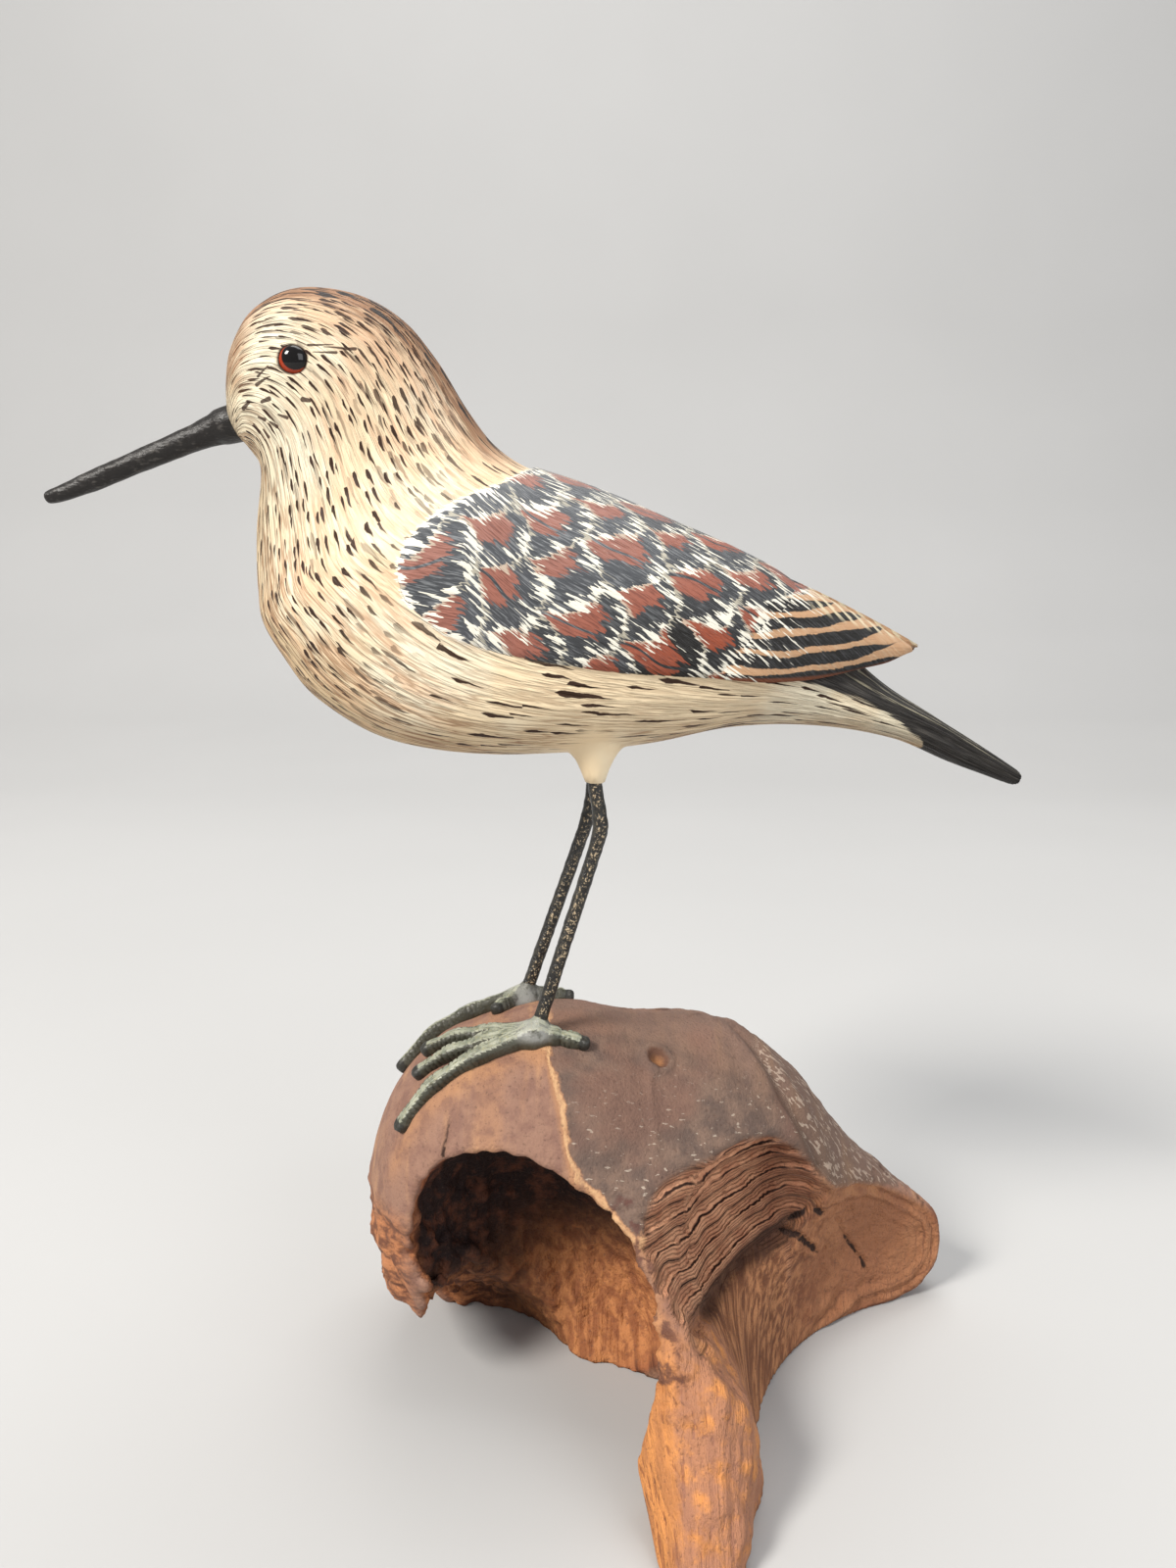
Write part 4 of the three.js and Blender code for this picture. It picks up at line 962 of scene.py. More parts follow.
def skin_of(field, low, high, cell):
    """The closed skin of a distance field: a point in each cell that it crosses."""
    counts = np.ceil((np.array(high) - low) / cell).astype(int) + 1
    axes = [
        np.float32(start) + np.float32(cell) * np.arange(count, dtype=np.float32)
        for start, count in zip(low, counts)]
    values = np.concatenate([
        field(np.stack(np.meshgrid(axes[0][i:i + 12], axes[1], axes[2], indexing="ij"), -1))
        for i in range(0, counts[0], 12)])
    corners = [(i, j, k) for i in (0, 1) for j in (0, 1) for k in (0, 1)]

    def at_corner(array, corner):
        return array[tuple(slice(c, n - 1 + c) for c, n in zip(corner, counts))]

    inside = values < 0
    full = sum(at_corner(inside, c).astype(np.int8) for c in corners)
    cells = np.argwhere((full > 0) & (full < 8))
    number = np.full(counts - 1, -1)
    number[tuple(cells.T)] = np.arange(len(cells))
    total, crossings = np.zeros((len(cells), 3)), np.zeros(len(cells))
    for corner in corners:
        for axis in range(3):
            if corner[axis]:
                continue
            other = tuple(c + (i == axis) for i, c in enumerate(corner))
            a = values[tuple((cells + corner).T)].astype(float)
            b = values[tuple((cells + other).T)].astype(float)
            crossed = (a < 0) != (b < 0)
            share = np.where(crossed, a / np.where(crossed, a - b, 1), 0)
            at = cells + corner + share[:, None] * np.eye(3)[axis]
            total += at * crossed[:, None]
            crossings += crossed
    points = np.array(low) + cell * total / crossings[:, None]
    faces = []
    for axis in range(3):
        u, v = [(1, 2), (2, 0), (0, 1)][axis]
        inner = [slice(1, n - 1) for n in counts]
        inner[axis] = slice(0, counts[axis] - 1)
        first = inside[tuple(inner)]
        inner[axis] = slice(1, counts[axis])
        second = inside[tuple(inner)]
        edges = np.argwhere(first != second)
        leaving = first[tuple(edges.T)]
        edges = edges + [0 if i == axis else 1 for i in range(3)]
        du, dv = np.eye(3, dtype=int)[u], np.eye(3, dtype=int)[v]
        around = ((1, 1), (0, 1), (0, 0), (1, 0))
        square = np.stack([number[tuple((edges - a * du - b * dv).T)] for a, b in around], -1)
        square[~leaving] = square[~leaving][:, ::-1]
        faces.append(square)
    return points, np.concatenate(faces)


points, faces = skin_of(worn_wood, WOOD_LOW, WOOD_HIGH, WOOD_CELL)
for _ in range(3):
    points = points - slope_of(worn_wood, points) * worn_wood(points)[:, None]
normal = slope_of(worn_wood, points, 0.6)
x, y, z = points.T
depth = -whole_wood(points)
from_hollow = np.abs(hollow_of(points))
in_hollow = (1 - step(from_hollow, 0.9, 2.6)) * step(depth, 0.3, 2.5)
rotten = rot_at(points)
in_hollow = np.maximum(in_hollow, rotten * (1 - step(from_hollow, 2.5, 4.5)) * step(depth, 0.3, 2.0))
in_channel = (1 - step(np.abs(channel_of(points)), 0.8, 2.6)) * step(depth, 0.3, 2.0) * (1 - in_hollow)
on_ground = 1 - step(z, 0.1, 1.2)


def near_line(points, line):
    """The distance in mm from points to a line through several places."""
    nearest = np.full(len(points), 1000.0)
    for start, end in zip(line[:-1], line[1:]):
        start, axis = np.array(start), np.array(end) - np.array(start)
        share = np.clip((points - start) @ axis / (axis @ axis), 0, 1)
        away = np.linalg.norm(points - start - share[:, None] * axis, axis=1)
        nearest = np.minimum(nearest, away)
    return nearest


# Nested ridges on the channel's left slope, which arch over the head of a cleft and run down
# beside it, with cracks that run on from the cleft.
CLEFT = [(49.6, -2.6, 33.4), (48.1, -2.9, 30.9), (40.4, -6.7, 28.2), (34.4, -12.0, 26.3),
         (28.9, -22.1, 25.6), (22.7, -44.3, 32.6), (20.2, -54.4, 31.1), (18.9, -59.4, 25.1),
         (19.1, -66.1, 17.4), (19.1, -76.0, 6.0)]
RIDGE_STEP, RIDGE_HEIGHT, CLEFT_DEPTH = 5.6, 2.2, 1.7
wander = rough(points, 16, seed=11)
arch = near_line(points, CLEFT) + 1.6 * rough(points, 15, seed=12) + 0.3 * rough(points, 5, seed=21)
cleft_x = np.interp(-y, [2.6, 6.7, 12, 22, 44, 54, 66], [50, 40.4, 34.4, 28.9, 22.7, 20.2, 19.1])
sloping = in_channel * np.maximum(step(cleft_x - x, -1.0, 2.0), step(z, 27, 36)) * (1 - step(x, 53, 60))
terrace = np.mod(arch / RIDGE_STEP, 1.0)
terrace = terrace * (1 - step(terrace, 0.78, 1.0)) - 0.35
ridge = RIDGE_HEIGHT * terrace * sloping * step(arch, 0.6, 3.0) * (0.8 + 0.6 * rough(points, 9, seed=22))
ridge -= in_channel * CLEFT_DEPTH * bell(near_line(points, CLEFT[1:6]), 1.7)
CRACKS = [
    [(48.1, -2.9, 30.9), (52.1, -1.1, 28.8), (56.5, 3.0, 23.5), (60.1, 7.1, 18.4)],
    [(63.0, 6.0, 30.0), (67.3, 11.8, 20.5), (72.1, 14.6, 13.3), (77.0, 15.0, 1.9)],
    [(50.0, -2.0, 34.0), (55.0, 0.5, 37.0), (58.0, 1.5, 33.0), (64.0, 6.0, 31.0)],
]
jagged = 0.9 * rough(points, 7, seed=26) + 0.4 * rough(points, 2.2, seed=28)
crack = sum(bell(near_line(points, course) + jagged, 0.55) for course in CRACKS)
crack *= in_channel
ridge -= 1.2 * crack
ridge += in_channel * step(x, 50, 58) * (1 - step(x, 66, 74)) * 1.1 * rough(points, 7, seed=27, octaves=3)
# Low arcs inside the right root's edge.
right_part = in_channel * step(x, 52, 62) * (1 - step(depth, 4, 8))
ridge += 0.6 * right_part * np.sin(2 * np.pi * (depth + 1.3 * wander) / 3.2)
# The spine between the hollow and the channel has crumbled into short steps, and the wood is
# torn at the far left below the top.
SPINE = [(8.5, -34.3, 52.3), (11.5, -39.3, 44.6), (14.3, -47.1, 36.0), (17.6, -58.0, 26.1)]
crumbled = (1 - step(near_line(points, SPINE) + 2.0 * wander, 2.5, 6.5)) * (1 - in_hollow)
ridge += 1.9 * crumbled * rough(points * (0.5, 0.8, 1.4), 5.0, seed=24, octaves=3)
torn = step(-x, 37, 43) * (1 - step(z + 4 * wander, 40, 50)) * (1 - in_hollow)
ridge += 1.8 * torn * rough(points * (0.6, 0.6, 1.5), 5.5, seed=25, octaves=3)
# Fibres along the front root, and across the rotted walls of the hollow.
fibre_at = np.stack([x, 0.6 * y - 0.8 * z, 0.06 * (0.8 * y + 0.6 * z)], -1)
root = step(-y, 26, 44) * (1 - in_hollow)
ridge += 0.55 * np.maximum(root, in_channel * (1 - sloping)) * rough(fibre_at, 3.4, seed=13)
ridge += 0.8 * root * step(x, 17, 22) * rough(points, 6.0, seed=23, octaves=3)
broken = in_hollow * rotten
ridge += in_hollow * (0.5 * rough(points, 6.0, seed=14, octaves=3) + 0.5 * rough(fibre_at, 3.2, seed=15))
ridge += 1.9 * broken * rough(points * (1.0, 1.0, 0.5), 4.2, seed=16, octaves=3)
# Low undulations on the worn top, the knot and its ridge, and the split on the left.
top = (1 - in_hollow) * (1 - in_channel)
ridge += top * (0.5 * rough(points, 15, seed=17) + 0.14 * rough(points * (1, 0.4, 0.4), 4, seed=18))
weather_lines = rough(points * (1, 1, 0.12) + 0.8 * wander[:, None], 3.4, seed=29, octaves=3)
ridge += top * step(y, 4, 18) * (0.45 * weather_lines - 0.9 * step(weather_lines, 0.45, 0.7))
KNOT = (16.3, -9.2, 78.4)
KNOT_RIDGE = [(15.8, -10.0, 78.0), (14.2, -15.1, 75.2), (15.1, -25, 61.9)]
SPLIT = [(-30.0, -17.0, 75.0), (-31.0, -23.0, 69.0), (-33.0, -28.5, 60.0)]
from_knot = np.linalg.norm((points - KNOT) * (1, 1, 0.8), axis=1)
ridge += top * (bell(from_knot - 3.1, 1.1) - 1.2 * bell(from_knot, 1.8))
ridge += top * 0.6 * bell(near_line(points, KNOT_RIDGE) + 0.4 * wander, 0.9)
split = bell(near_line(points, SPLIT) + 0.3 * wander, 0.6)
ridge -= top * 1.1 * split
# A crease down the right flank, beyond which the wood is darker.
CREASE = [(38.0, 12.0, 78.0), (41.8, 5.2, 74.4), (47.2, -3.2, 66.1), (55.1, -5.0, 48.7)]
from_crease = near_line(points, CREASE)
ridge -= top * 1.5 * bell(from_crease + 0.5 * wander, 1.9)
ridge += top * 0.7 * bell(from_crease - 5.0, 2.6)
flank = x - np.interp(z, [40, 48.7, 66.1, 74.4, 80], [61, 55.1, 47.2, 41.8, 37]) + 0.8 * wander
# The edge between the orange and the grey wood, which stands a little proud on the front.
edge_x = np.interp(z, [50, 62.5, 73.2, 81.3], [2, -3.2, -5.4, -8.9])
grey_z = np.interp(x, [-9.5, -3.2, 8.5, 50, 55, 61, 84, 100], [84, 61, 50, 42, 46.8, 41.3, 31, 25])
grey_side = np.minimum(x - edge_x + 1.2 * rough(points, 5, seed=19), z - grey_z + 1.5 * wander)
front_face = step(-y, -2, 10)
ridge += top * front_face * 0.55 * bell(x - edge_x + 1.2, 1.5) * step(z, 52, 60)
# A halo of bare wood along the near foot's outline.
FOOT_PLAN = [(-12.0, -13.0, 0.0), (-20.0, -15.5, 0.0), (-46.0, -20.5, 0.0)]
halo = bell(near_line(points * (1, 1, 0), FOOT_PLAN) + 0.6 * wander, 2.8) * step(z, 50, 60)
points = points + normal * (ridge * (1 - on_ground))[:, None]
points[:, 2] = np.maximum(points[:, 2], 0)
# The split value marks the splits and cracks, for the painted shade in them.
wood = make_piece("driftwood", points + wood_at, facing_out(points, faces.tolist()), {
    "ring": depth, "arch": arch, "channel": in_channel, "sloping": sloping, "hollow": in_hollow,
    "grey": grey_side, "flank": flank, "split": np.maximum(split * top, crack),
    "broken": np.maximum(broken, 0.9 * torn), "crumbled": crumbled, "halo": halo,
    "checks": top * step(y, 4, 18) * step(weather_lines, 0.3, 0.6)})

# Paint of the wood, which follows the named values on its points.
weathered, t, shader = new_paint("weathered_root")
place = vector(t, "SUBTRACT", place_mm(t), tuple(wood_at))
xyz = parts(t, place)
ring, arch, channel, sloping, hollow, grey, flank = (
    field_of(t, name) for name in ("ring", "arch", "channel", "sloping", "hollow", "grey", "flank"))
MAUVE, PALE_ORANGE, ORANGE = (0.27, 0.15, 0.105), (0.46, 0.225, 0.10), (0.60, 0.245, 0.075)
GREY, FLECK, RED_BROWN = (0.115, 0.077, 0.062), (0.48, 0.40, 0.32), (0.14, 0.038, 0.017)
# The first colour on the next line is the nearly black painted shade in the hollow's crown.
CROWN_SHADE, UMBER_WOOD = (0.014, 0.005, 0.004), (0.035, 0.012, 0.007)

big = noise_of(t, place, scale=0.045, detail=3)
mid = noise_of(t, place, scale=0.22, detail=4, roughness=0.6)
small = noise_of(t, place, scale=1.3, detail=3, roughness=0.6)
# Worn top: mauve-brown with a few paler upright bands on the left, grey in the middle, and a
# darker flecked flank on the right.
bands = noise_of(t, stretched(t, place, (0.2, 0.03, 0.012)), detail=3, roughness=0.55)
top_coat = colour_mix(t, rising(t, bands, 0.5, 0.72), MAUVE, (0.41, 0.225, 0.125))
pale_band = calc(t, "ABSOLUTE", calc(t, "SUBTRACT", times_plus(t, mid, 3.0, xyz[0]), -20.5))
pale_band = falling(t, pale_band, 1.2, 4.5)
top_coat = coated(t, top_coat, PALE_ORANGE, pale_band, 0.3)
top_coat = coated(t, top_coat, PALE_ORANGE, field_of(t, "halo"), 0.45)
top_coat = coated(t, top_coat, (0.17, 0.085, 0.066), rising(t, mid, 0.42, 0.66), 0.6)
grey_coat = colour_mix(t, rising(t, mid, 0.35, 0.68), GREY, (0.19, 0.122, 0.09))
grey_coat = coated(t, grey_coat, (0.19, 0.098, 0.07), rising(t, big, 0.45, 0.62), 0.6)
on_flank = rising(t, flank, -0.5, 1.0)
grey_coat = coated(t, grey_coat, (0.095, 0.073, 0.058), on_flank, 0.7)
# Painted shade in the crease down the right flank.
crease_shade = falling(t, calc(t, "ABSOLUTE", flank), 0.3, 1.8)
grey_coat = coated(t, grey_coat, (0.06, 0.04, 0.03), crease_shade, 0.6)
few = times(t, rising(t, mid, 0.36, 0.5), rising(t, times(t, xyz[2], -1.0), -84.0, -60.0))
down = calc(t, "SUBTRACT", xyz[0], xyz[2])
aslant = joined(t, times(t, calc(t, "ADD", xyz[0], xyz[2]), 0.95), xyz[1], times(t, down, 0.24))
level = stretched(t, place, (0.36, 1.1, 1.3))
fleck_at = put(t, "Mix", {0: on_flank, 4: level, 5: aslant}, data_type="VECTOR").outputs[1]
flecks = noise_of(t, fleck_at, detail=2, roughness=0.5)
flecks = calc(t, "SUBTRACT", flecks, times_plus(t, on_flank, -0.09, 0.66))
flecks = times(t, rising(t, flecks, 0.0, 0.03), calc(t, "MAXIMUM", on_flank, few))
grey_coat = coated(t, grey_coat, FLECK, flecks, 0.7)
on_front = rising(t, times(t, xyz[1], -1.0), -4.0, 14.0)
blotch = noise_of(t, place, scale=0.5, detail=3, roughness=0.6)
grey = times_plus(t, blotch, 3.0, calc(t, "SUBTRACT", grey, 1.5))
on_grey = times(t, rising(t, grey, 0.0, 0.9), times_plus(t, on_front, 0.35, 0.65))
soft_lip = times(t, rising(t, grey, -6.5, -0.5), on_front, 0.6)
top_coat = colour_mix(t, times(t, soft_lip, rising(t, bands, 0.3, 0.5)), top_coat, PALE_ORANGE)
top_coat = colour_mix(t, on_grey, top_coat, grey_coat)
lip = times(t, rising(t, grey, -2.0, -0.7), falling(t, grey, -0.3, 0.5))
lip = times(t, lip, on_front, rising(t, mid, 0.32, 0.6))
top_coat = coated(t, top_coat, (0.62, 0.38, 0.20), lip, 0.8)
# The knot, dark round a rusty middle, and a pale scratch beside its ridge.
from_knot = vector(t, "LENGTH", stretched(t, vector(t, "SUBTRACT", place, KNOT), (1.0, 1.0, 0.7)))
from_knot = times_plus(t, blotch, 1.6, from_knot)
knot = falling(t, from_knot, 3.0, 4.0)
top_coat = coated(t, top_coat, (0.12, 0.052, 0.03), knot, 0.85)
knot_middle = falling(t, from_knot, 1.6, 2.8)
top_coat = coated(t, top_coat, (0.33, 0.15, 0.06), knot_middle, 0.8)
scratches = use_group(t, line, {
    "Place": place, "From": (20.6, -17.0, 73.0), "To": (21.6, -22.5, 66.0),
    "Breadth from": 0.45, "Breadth to": 0.12})["Mask"]
scratches = times(t, scratches, rising(t, small, 0.42, 0.5))
top_coat = coated(t, top_coat, (0.60, 0.48, 0.36), scratches, 0.8)
# The channel: pinkish brown with dark lines between its nested ridges, redder at its head and
# darkened there by painted shade, with painted shade deep in the cleft, and browner with
# upright fibres on its floor.
waver = noise_of(t, place, scale=0.16, detail=2)
across_fibres = times_plus(t, xyz[1], 0.6, times(t, xyz[2], -0.8))
along_fibres = times_plus(t, xyz[1], 0.8, times(t, xyz[2], 0.6))
fibre_place = joined(t, xyz[0], across_fibres, times(t, along_fibres, 0.045))
fibre = noise_of(t, fibre_place, scale=0.75, detail=4, roughness=0.62)
soft_fibre = noise_of(t, fibre_place, scale=0.4, detail=3, roughness=0.5)
arch_line = calc(t, "FRACT", times_plus(t, waver, 0.5, times(t, arch, 1 / 2.8)))
between = times(t, rising(t, arch_line, 0.78, 0.9), falling(t, arch_line, 0.94, 1.0))
line_mix = noise_of(t, stretched(t, place, (0.13, 0.13, 0.13)), detail=2)
between = times(t, between, rising(t, line_mix, 0.3, 0.5))
fine_line = calc(t, "ABSOLUTE", calc(t, "SINE", times(t, times_plus(t, waver, 2.0, arch), math.pi / 0.8)))
fine_line = times(t, falling(t, fine_line, 0.0, 0.7), 0.3)
slope_coat = colour_mix(t, rising(t, mid, 0.35, 0.68), (0.66, 0.34, 0.195), (0.46, 0.20, 0.11))
# Redder at the channel's head, and darker there with painted shade.
ridge_head = times(t, rising(t, xyz[0], 34.0, 48.0), rising(t, xyz[2], 18.0, 34.0))
slope_coat = coated(t, slope_coat, RED_BROWN, ridge_head, 0.6)
crest = falling(t, ring, 0.8, 3.6)
slope_coat = coated(t, slope_coat, (0.48, 0.225, 0.135), crest, 0.6)
slope_coat = colour_mix(t, fine_line, slope_coat, (0.13, 0.045, 0.022))
slope_coat = colour_mix(t, between, slope_coat, UMBER_WOOD)
# Painted shade deep in the cleft near the channel's head.
cleft_shade = falling(t, arch, 0.8, 4.5)
channel_floor = colour_mix(t, rising(t, fibre, 0.4, 0.62), (0.17, 0.065, 0.03), (0.44, 0.20, 0.09))
floor_edge = colour_mix(t, rising(t, mid, 0.35, 0.7), (0.42, 0.195, 0.09), (0.27, 0.115, 0.06))
channel_floor = colour_mix(t, rising(t, xyz[0], 50.0, 66.0), channel_floor, floor_edge)
channel_coat = colour_mix(t, sloping, channel_floor, slope_coat)
cleft_shade = times(t, cleft_shade, rising(t, xyz[1], -52.0, -30.0), 0.85)
channel_coat = colour_mix(t, cleft_shade, channel_coat, UMBER_WOOD)
# The front root is bright orange with long dark fibres and a rough mauve patch, and the end of
# the right root is browner, with low arcs inside its edge.
fine_ring = calc(t, "ABSOLUTE", calc(t, "SINE", times(t, times_plus(t, waver, 3.0, ring), math.pi / 2.1)))
arcs = falling(t, fine_ring, 0.0, 0.45)
arcs = times(t, arcs, calc(t, "SUBTRACT", 0.9, rising(t, ring, 4.0, 12.0), clamp=True))
low_down = falling(t, grey, -6.0, 0.5)
rooty = rising(t, times(t, xyz[1], -1.0), 26.0, 40.0)
rooty = times(t, rooty, rising(t, times(t, xyz[2], -1.0), -44.0, -28.0))
right_end = times(t, rising(t, xyz[0], 44.0, 56.0), low_down)
root_coat = colour_mix(t, rising(t, soft_fibre, 0.38, 0.6), (0.42, 0.17, 0.06), ORANGE)
root_coat = coated(t, root_coat, (0.20, 0.065, 0.028), rising(t, times(t, fibre, -1.0), -0.42, -0.36), 0.7)
patch = times(t, rising(t, times_plus(t, mid, 9.0, xyz[0]), 20.0, 24.0), rising(t, mid, 0.3, 0.55))
root_coat = coated(t, root_coat, (0.30, 0.145, 0.10), patch, 0.7)
end_coat = colour_mix(t, rising(t, mid, 0.38, 0.6), (0.24, 0.085, 0.042), (0.44, 0.195, 0.09))
end_coat = colour_mix(t, arcs, end_coat, (0.11, 0.04, 0.024))
end_coat = coated(t, end_coat, (0.19, 0.06, 0.034), rising(t, big, 0.42, 0.62), 0.55)
coat = colour_mix(t, right_end, top_coat, end_coat)
channel_end = colour_mix(t, 0.5, channel_coat, end_coat)
coat = colour_mix(t, channel, coat, colour_mix(t, right_end, channel_coat, channel_end))
coat = colour_mix(t, times(t, rooty, opposite(t, times(t, sloping, 0.85))), coat, root_coat)
# Hollow: nearly black painted shade over the rotted wood of its crown, orange-brown wood with
# upright fibres on its floor.
floor_share = times(
    t, rising(t, times_plus(t, mid, 16.0, xyz[0]), -22.0, 6.0),
    falling(t, times_plus(t, mid, 16.0, xyz[2]), 24.0, 48.0))
# Painted shade, nearly black, over the rotted wood in the hollow's crown.
crown_shade_coat = colour_mix(t, rising(t, mid, 0.45, 0.72), CROWN_SHADE, (0.10, 0.032, 0.015))
floor_coat = colour_mix(t, rising(t, soft_fibre, 0.36, 0.62), (0.27, 0.095, 0.036), (0.47, 0.19, 0.07))
floor_coat = coated(t, floor_coat, (0.20, 0.065, 0.027), rising(t, blotch, 0.48, 0.66), 0.6)
hollow_coat = colour_mix(t, floor_share, crown_shade_coat, floor_coat)
rim_coat = colour_mix(t, rising(t, soft_fibre, 0.42, 0.58), (0.10, 0.03, 0.015), (0.32, 0.11, 0.045))
near_rim = falling(t, times_plus(t, mid, 3.0, ring), 3.0, 8.5)
hollow_coat = colour_mix(t, near_rim, hollow_coat, rim_coat)
splinters = noise_of(t, stretched(t, place, (0.22, 0.22, 0.6)), detail=4, roughness=0.6)
broken_coat = colour_mix(t, rising(t, splinters, 0.38, 0.62), (0.11, 0.034, 0.015), (0.46, 0.18, 0.07))
broken_here = field_of(t, "broken")
broken_share = times(t, broken_here, calc(t, "MAXIMUM", near_rim, falling(t, xyz[2], 14.0, 30.0)))
hollow_coat = coated(t, hollow_coat, broken_coat, broken_share, 0.85)
coat = coated(t, coat, broken_coat, broken_here, 0.9)
coat = colour_mix(t, hollow, coat, hollow_coat)
crumbled = times(t, field_of(t, "crumbled"), rising(t, times(t, mid, -1.0), -0.5, -0.38))
coat = coated(t, coat, (0.10, 0.04, 0.03), crumbled, 0.85)
# Painted shade darkens the splits and cracks.
coat = colour_mix(t, rising(t, field_of(t, "split"), 0.3, 0.75), coat, (0.04, 0.018, 0.012))
coat = coated(t, coat, (0.07, 0.034, 0.024), field_of(t, "checks"), 0.7)
pores = times(t, falling(t, small, 0.3, 0.42), 0.45)
coat = colour_mix(t, pores, coat, (0.08, 0.04, 0.028))
shader.inputs["Specular IOR Level"].default_value = 0.3
# Relief: steps between the ridges, fibres where the wood is torn or rotted, and pores.
steps_of = times(t, arch_line, falling(t, arch_line, 0.8, 1.0))
ridge_height = times(t, calc(t, "SUBTRACT", steps_of, fine_line), sloping, 2.6)
fibrous = calc(t, "MAXIMUM", times(t, hollow, 0.55), calc(t, "SUBTRACT", channel, sloping))
fibrous = calc(t, "MAXIMUM", rooty, fibrous)
wood_height = times_plus(t, fibre, times_plus(t, fibrous, 1.6, 0.2), times(t, small, 0.5))
wood_height = calc(t, "ADD", wood_height, ridge_height)
wood_height = calc(t, "ADD", wood_height, times(t, fine_ring, right_end, 0.25))
wood_height = calc(t, "ADD", wood_height, times(t, 1.5, hollow, mid))
finish_paint(t, shader, coat, times_plus(t, small, 0.25, 0.62), wood_height, 0.9, 0.0009)
wood.data.materials.append(weathered)
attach(wood, "root")
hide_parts("driftwood_base")

# Legs
# Bent wire, set into the thighs at the top and through the feet into the driftwood, thick with
# lumpy black paint, olive in places, with a painted highlight of brass specks down its front.
HIP_X, KNEE_DROP, WIRE = 1.5, 10.7, 3.2  # mm
BEND, KNEE_SWELL, KNEE_REACH = 3, 0.10, 3.5  # bend in mm, swell as a share, its reach in mm
LEGS = [("left", -1, 3.0, -12.5), ("right", 1, 0.5, -16.4)]  # side, knee x, heel x


def wood_top(x, y):
    """Points of the driftwood's upper surface over places in plan."""
    place = np.stack([x, y, np.full(np.shape(x), 90.0)], -1)
    for _ in range(60):
        place[..., 2] -= 0.8 * whole_wood(place)
    return place


wire_paint, t, shader = new_paint("leg_wire")
place = place_mm(t)
lumps = noise_of(t, place, scale=0.85, detail=3, roughness=0.6)
specks = noise_of(t, place, scale=2.6, detail=2, roughness=0.5)
facing = parts(t, put(t, "NewGeometry").outputs["Normal"])
# Painted highlight: brass specks in a strip down the side that faces the camera.
highlight_side = rising(t, times_plus(t, facing[0], 0.1, times(t, facing[1], -1.0)), 0.7, 0.93)
wear_and_highlight = times(t, rising(t, times_plus(t, lumps, 0.5, times(t, specks, 0.5)), 0.53, 0.6), highlight_side)
wire_coat = colour_mix(t, rising(t, lumps, 0.4, 0.65), (0.009, 0.008, 0.007), (0.028, 0.025, 0.017))
wire_coat = coated(t, wire_coat, (0.46, 0.35, 0.22), wear_and_highlight, 0.9)
relief = times_plus(t, specks, 0.5, lumps)
finish_paint(t, shader, wire_coat, times_plus(t, lumps, 0.3, 0.18), relief, 0.9, 0.0004)

# A round wire of lumpy paint along a line, a little thicker where the line's swell says so.
wire_tree = bpy.data.node_groups.new("lumpy wire", "GeometryNodeTree")
wire_tree.interface.new_socket("Line", in_out="INPUT", socket_type="NodeSocketGeometry")
for label, value in (("Wire", 0.0032), ("Ring spacing", 0.0003), ("Lump height", 0.00045),
                     ("Lumps per metre", 420.0), ("Seed", 0.0)):
    made = wire_tree.interface.new_socket(label, in_out="INPUT", socket_type="NodeSocketFloat")
    made.default_value = value
wire_tree.interface.new_socket("Leg", in_out="OUTPUT", socket_type="NodeSocketGeometry")
t = wire_tree
given = t.nodes.new("NodeGroupInput").outputs
path = put(t, "GeometryNodeMeshToCurve", {"Mesh": given["Line"]}).outputs[0]
path = put(t, "GeometryNodeResampleCurve", {
    "Curve": path, "Length": given["Ring spacing"]}, mode="LENGTH").outputs[0]
swell = put(t, "GeometryNodeInputNamedAttribute", {"Name": "swell"}, data_type="FLOAT").outputs["Attribute"]
profile = put(t, "GeometryNodeCurvePrimitiveCircle", {
    "Resolution": 36, "Radius": times(t, given["Wire"], 0.5)}, mode="RADIUS").outputs[0]
tube = put(t, "GeometryNodeCurveToMesh", {
    "Curve": path, "Profile Curve": profile, "Scale": swell, "Fill Caps": True}).outputs[0]
bumps = put(t, "TexNoise", {
    "Vector": put(t, "GeometryNodeInputPosition").outputs[0], "W": given["Seed"],
    "Scale": given["Lumps per metre"], "Detail": 2.0}, noise_dimensions="4D").outputs[0]
height = times(t, calc(t, "SUBTRACT", bumps, 0.5), given["Lump height"])
outward = put(t, "VectorMath", {
    0: put(t, "GeometryNodeInputNormal").outputs[0], "Scale": height}, operation="SCALE").outputs[0]
tube = put(t, "GeometryNodeSetPosition", {"Geometry": tube, "Offset": outward}).outputs[0]
tube = put(t, "GeometryNodeSetShadeSmooth", {"Geometry": tube}).outputs[0]
tube = put(t, "GeometryNodeRealizeInstances", {"Geometry": tube}).outputs[0]
tube = put(t, "GeometryNodeSetMaterial", {"Geometry": tube, "Material": wire_paint}).outputs[0]
t.links.new(tube, t.nodes.new("NodeGroupOutput").inputs[0])
input_names = {item.name: item.identifier for item in wire_tree.interface.items_tree}

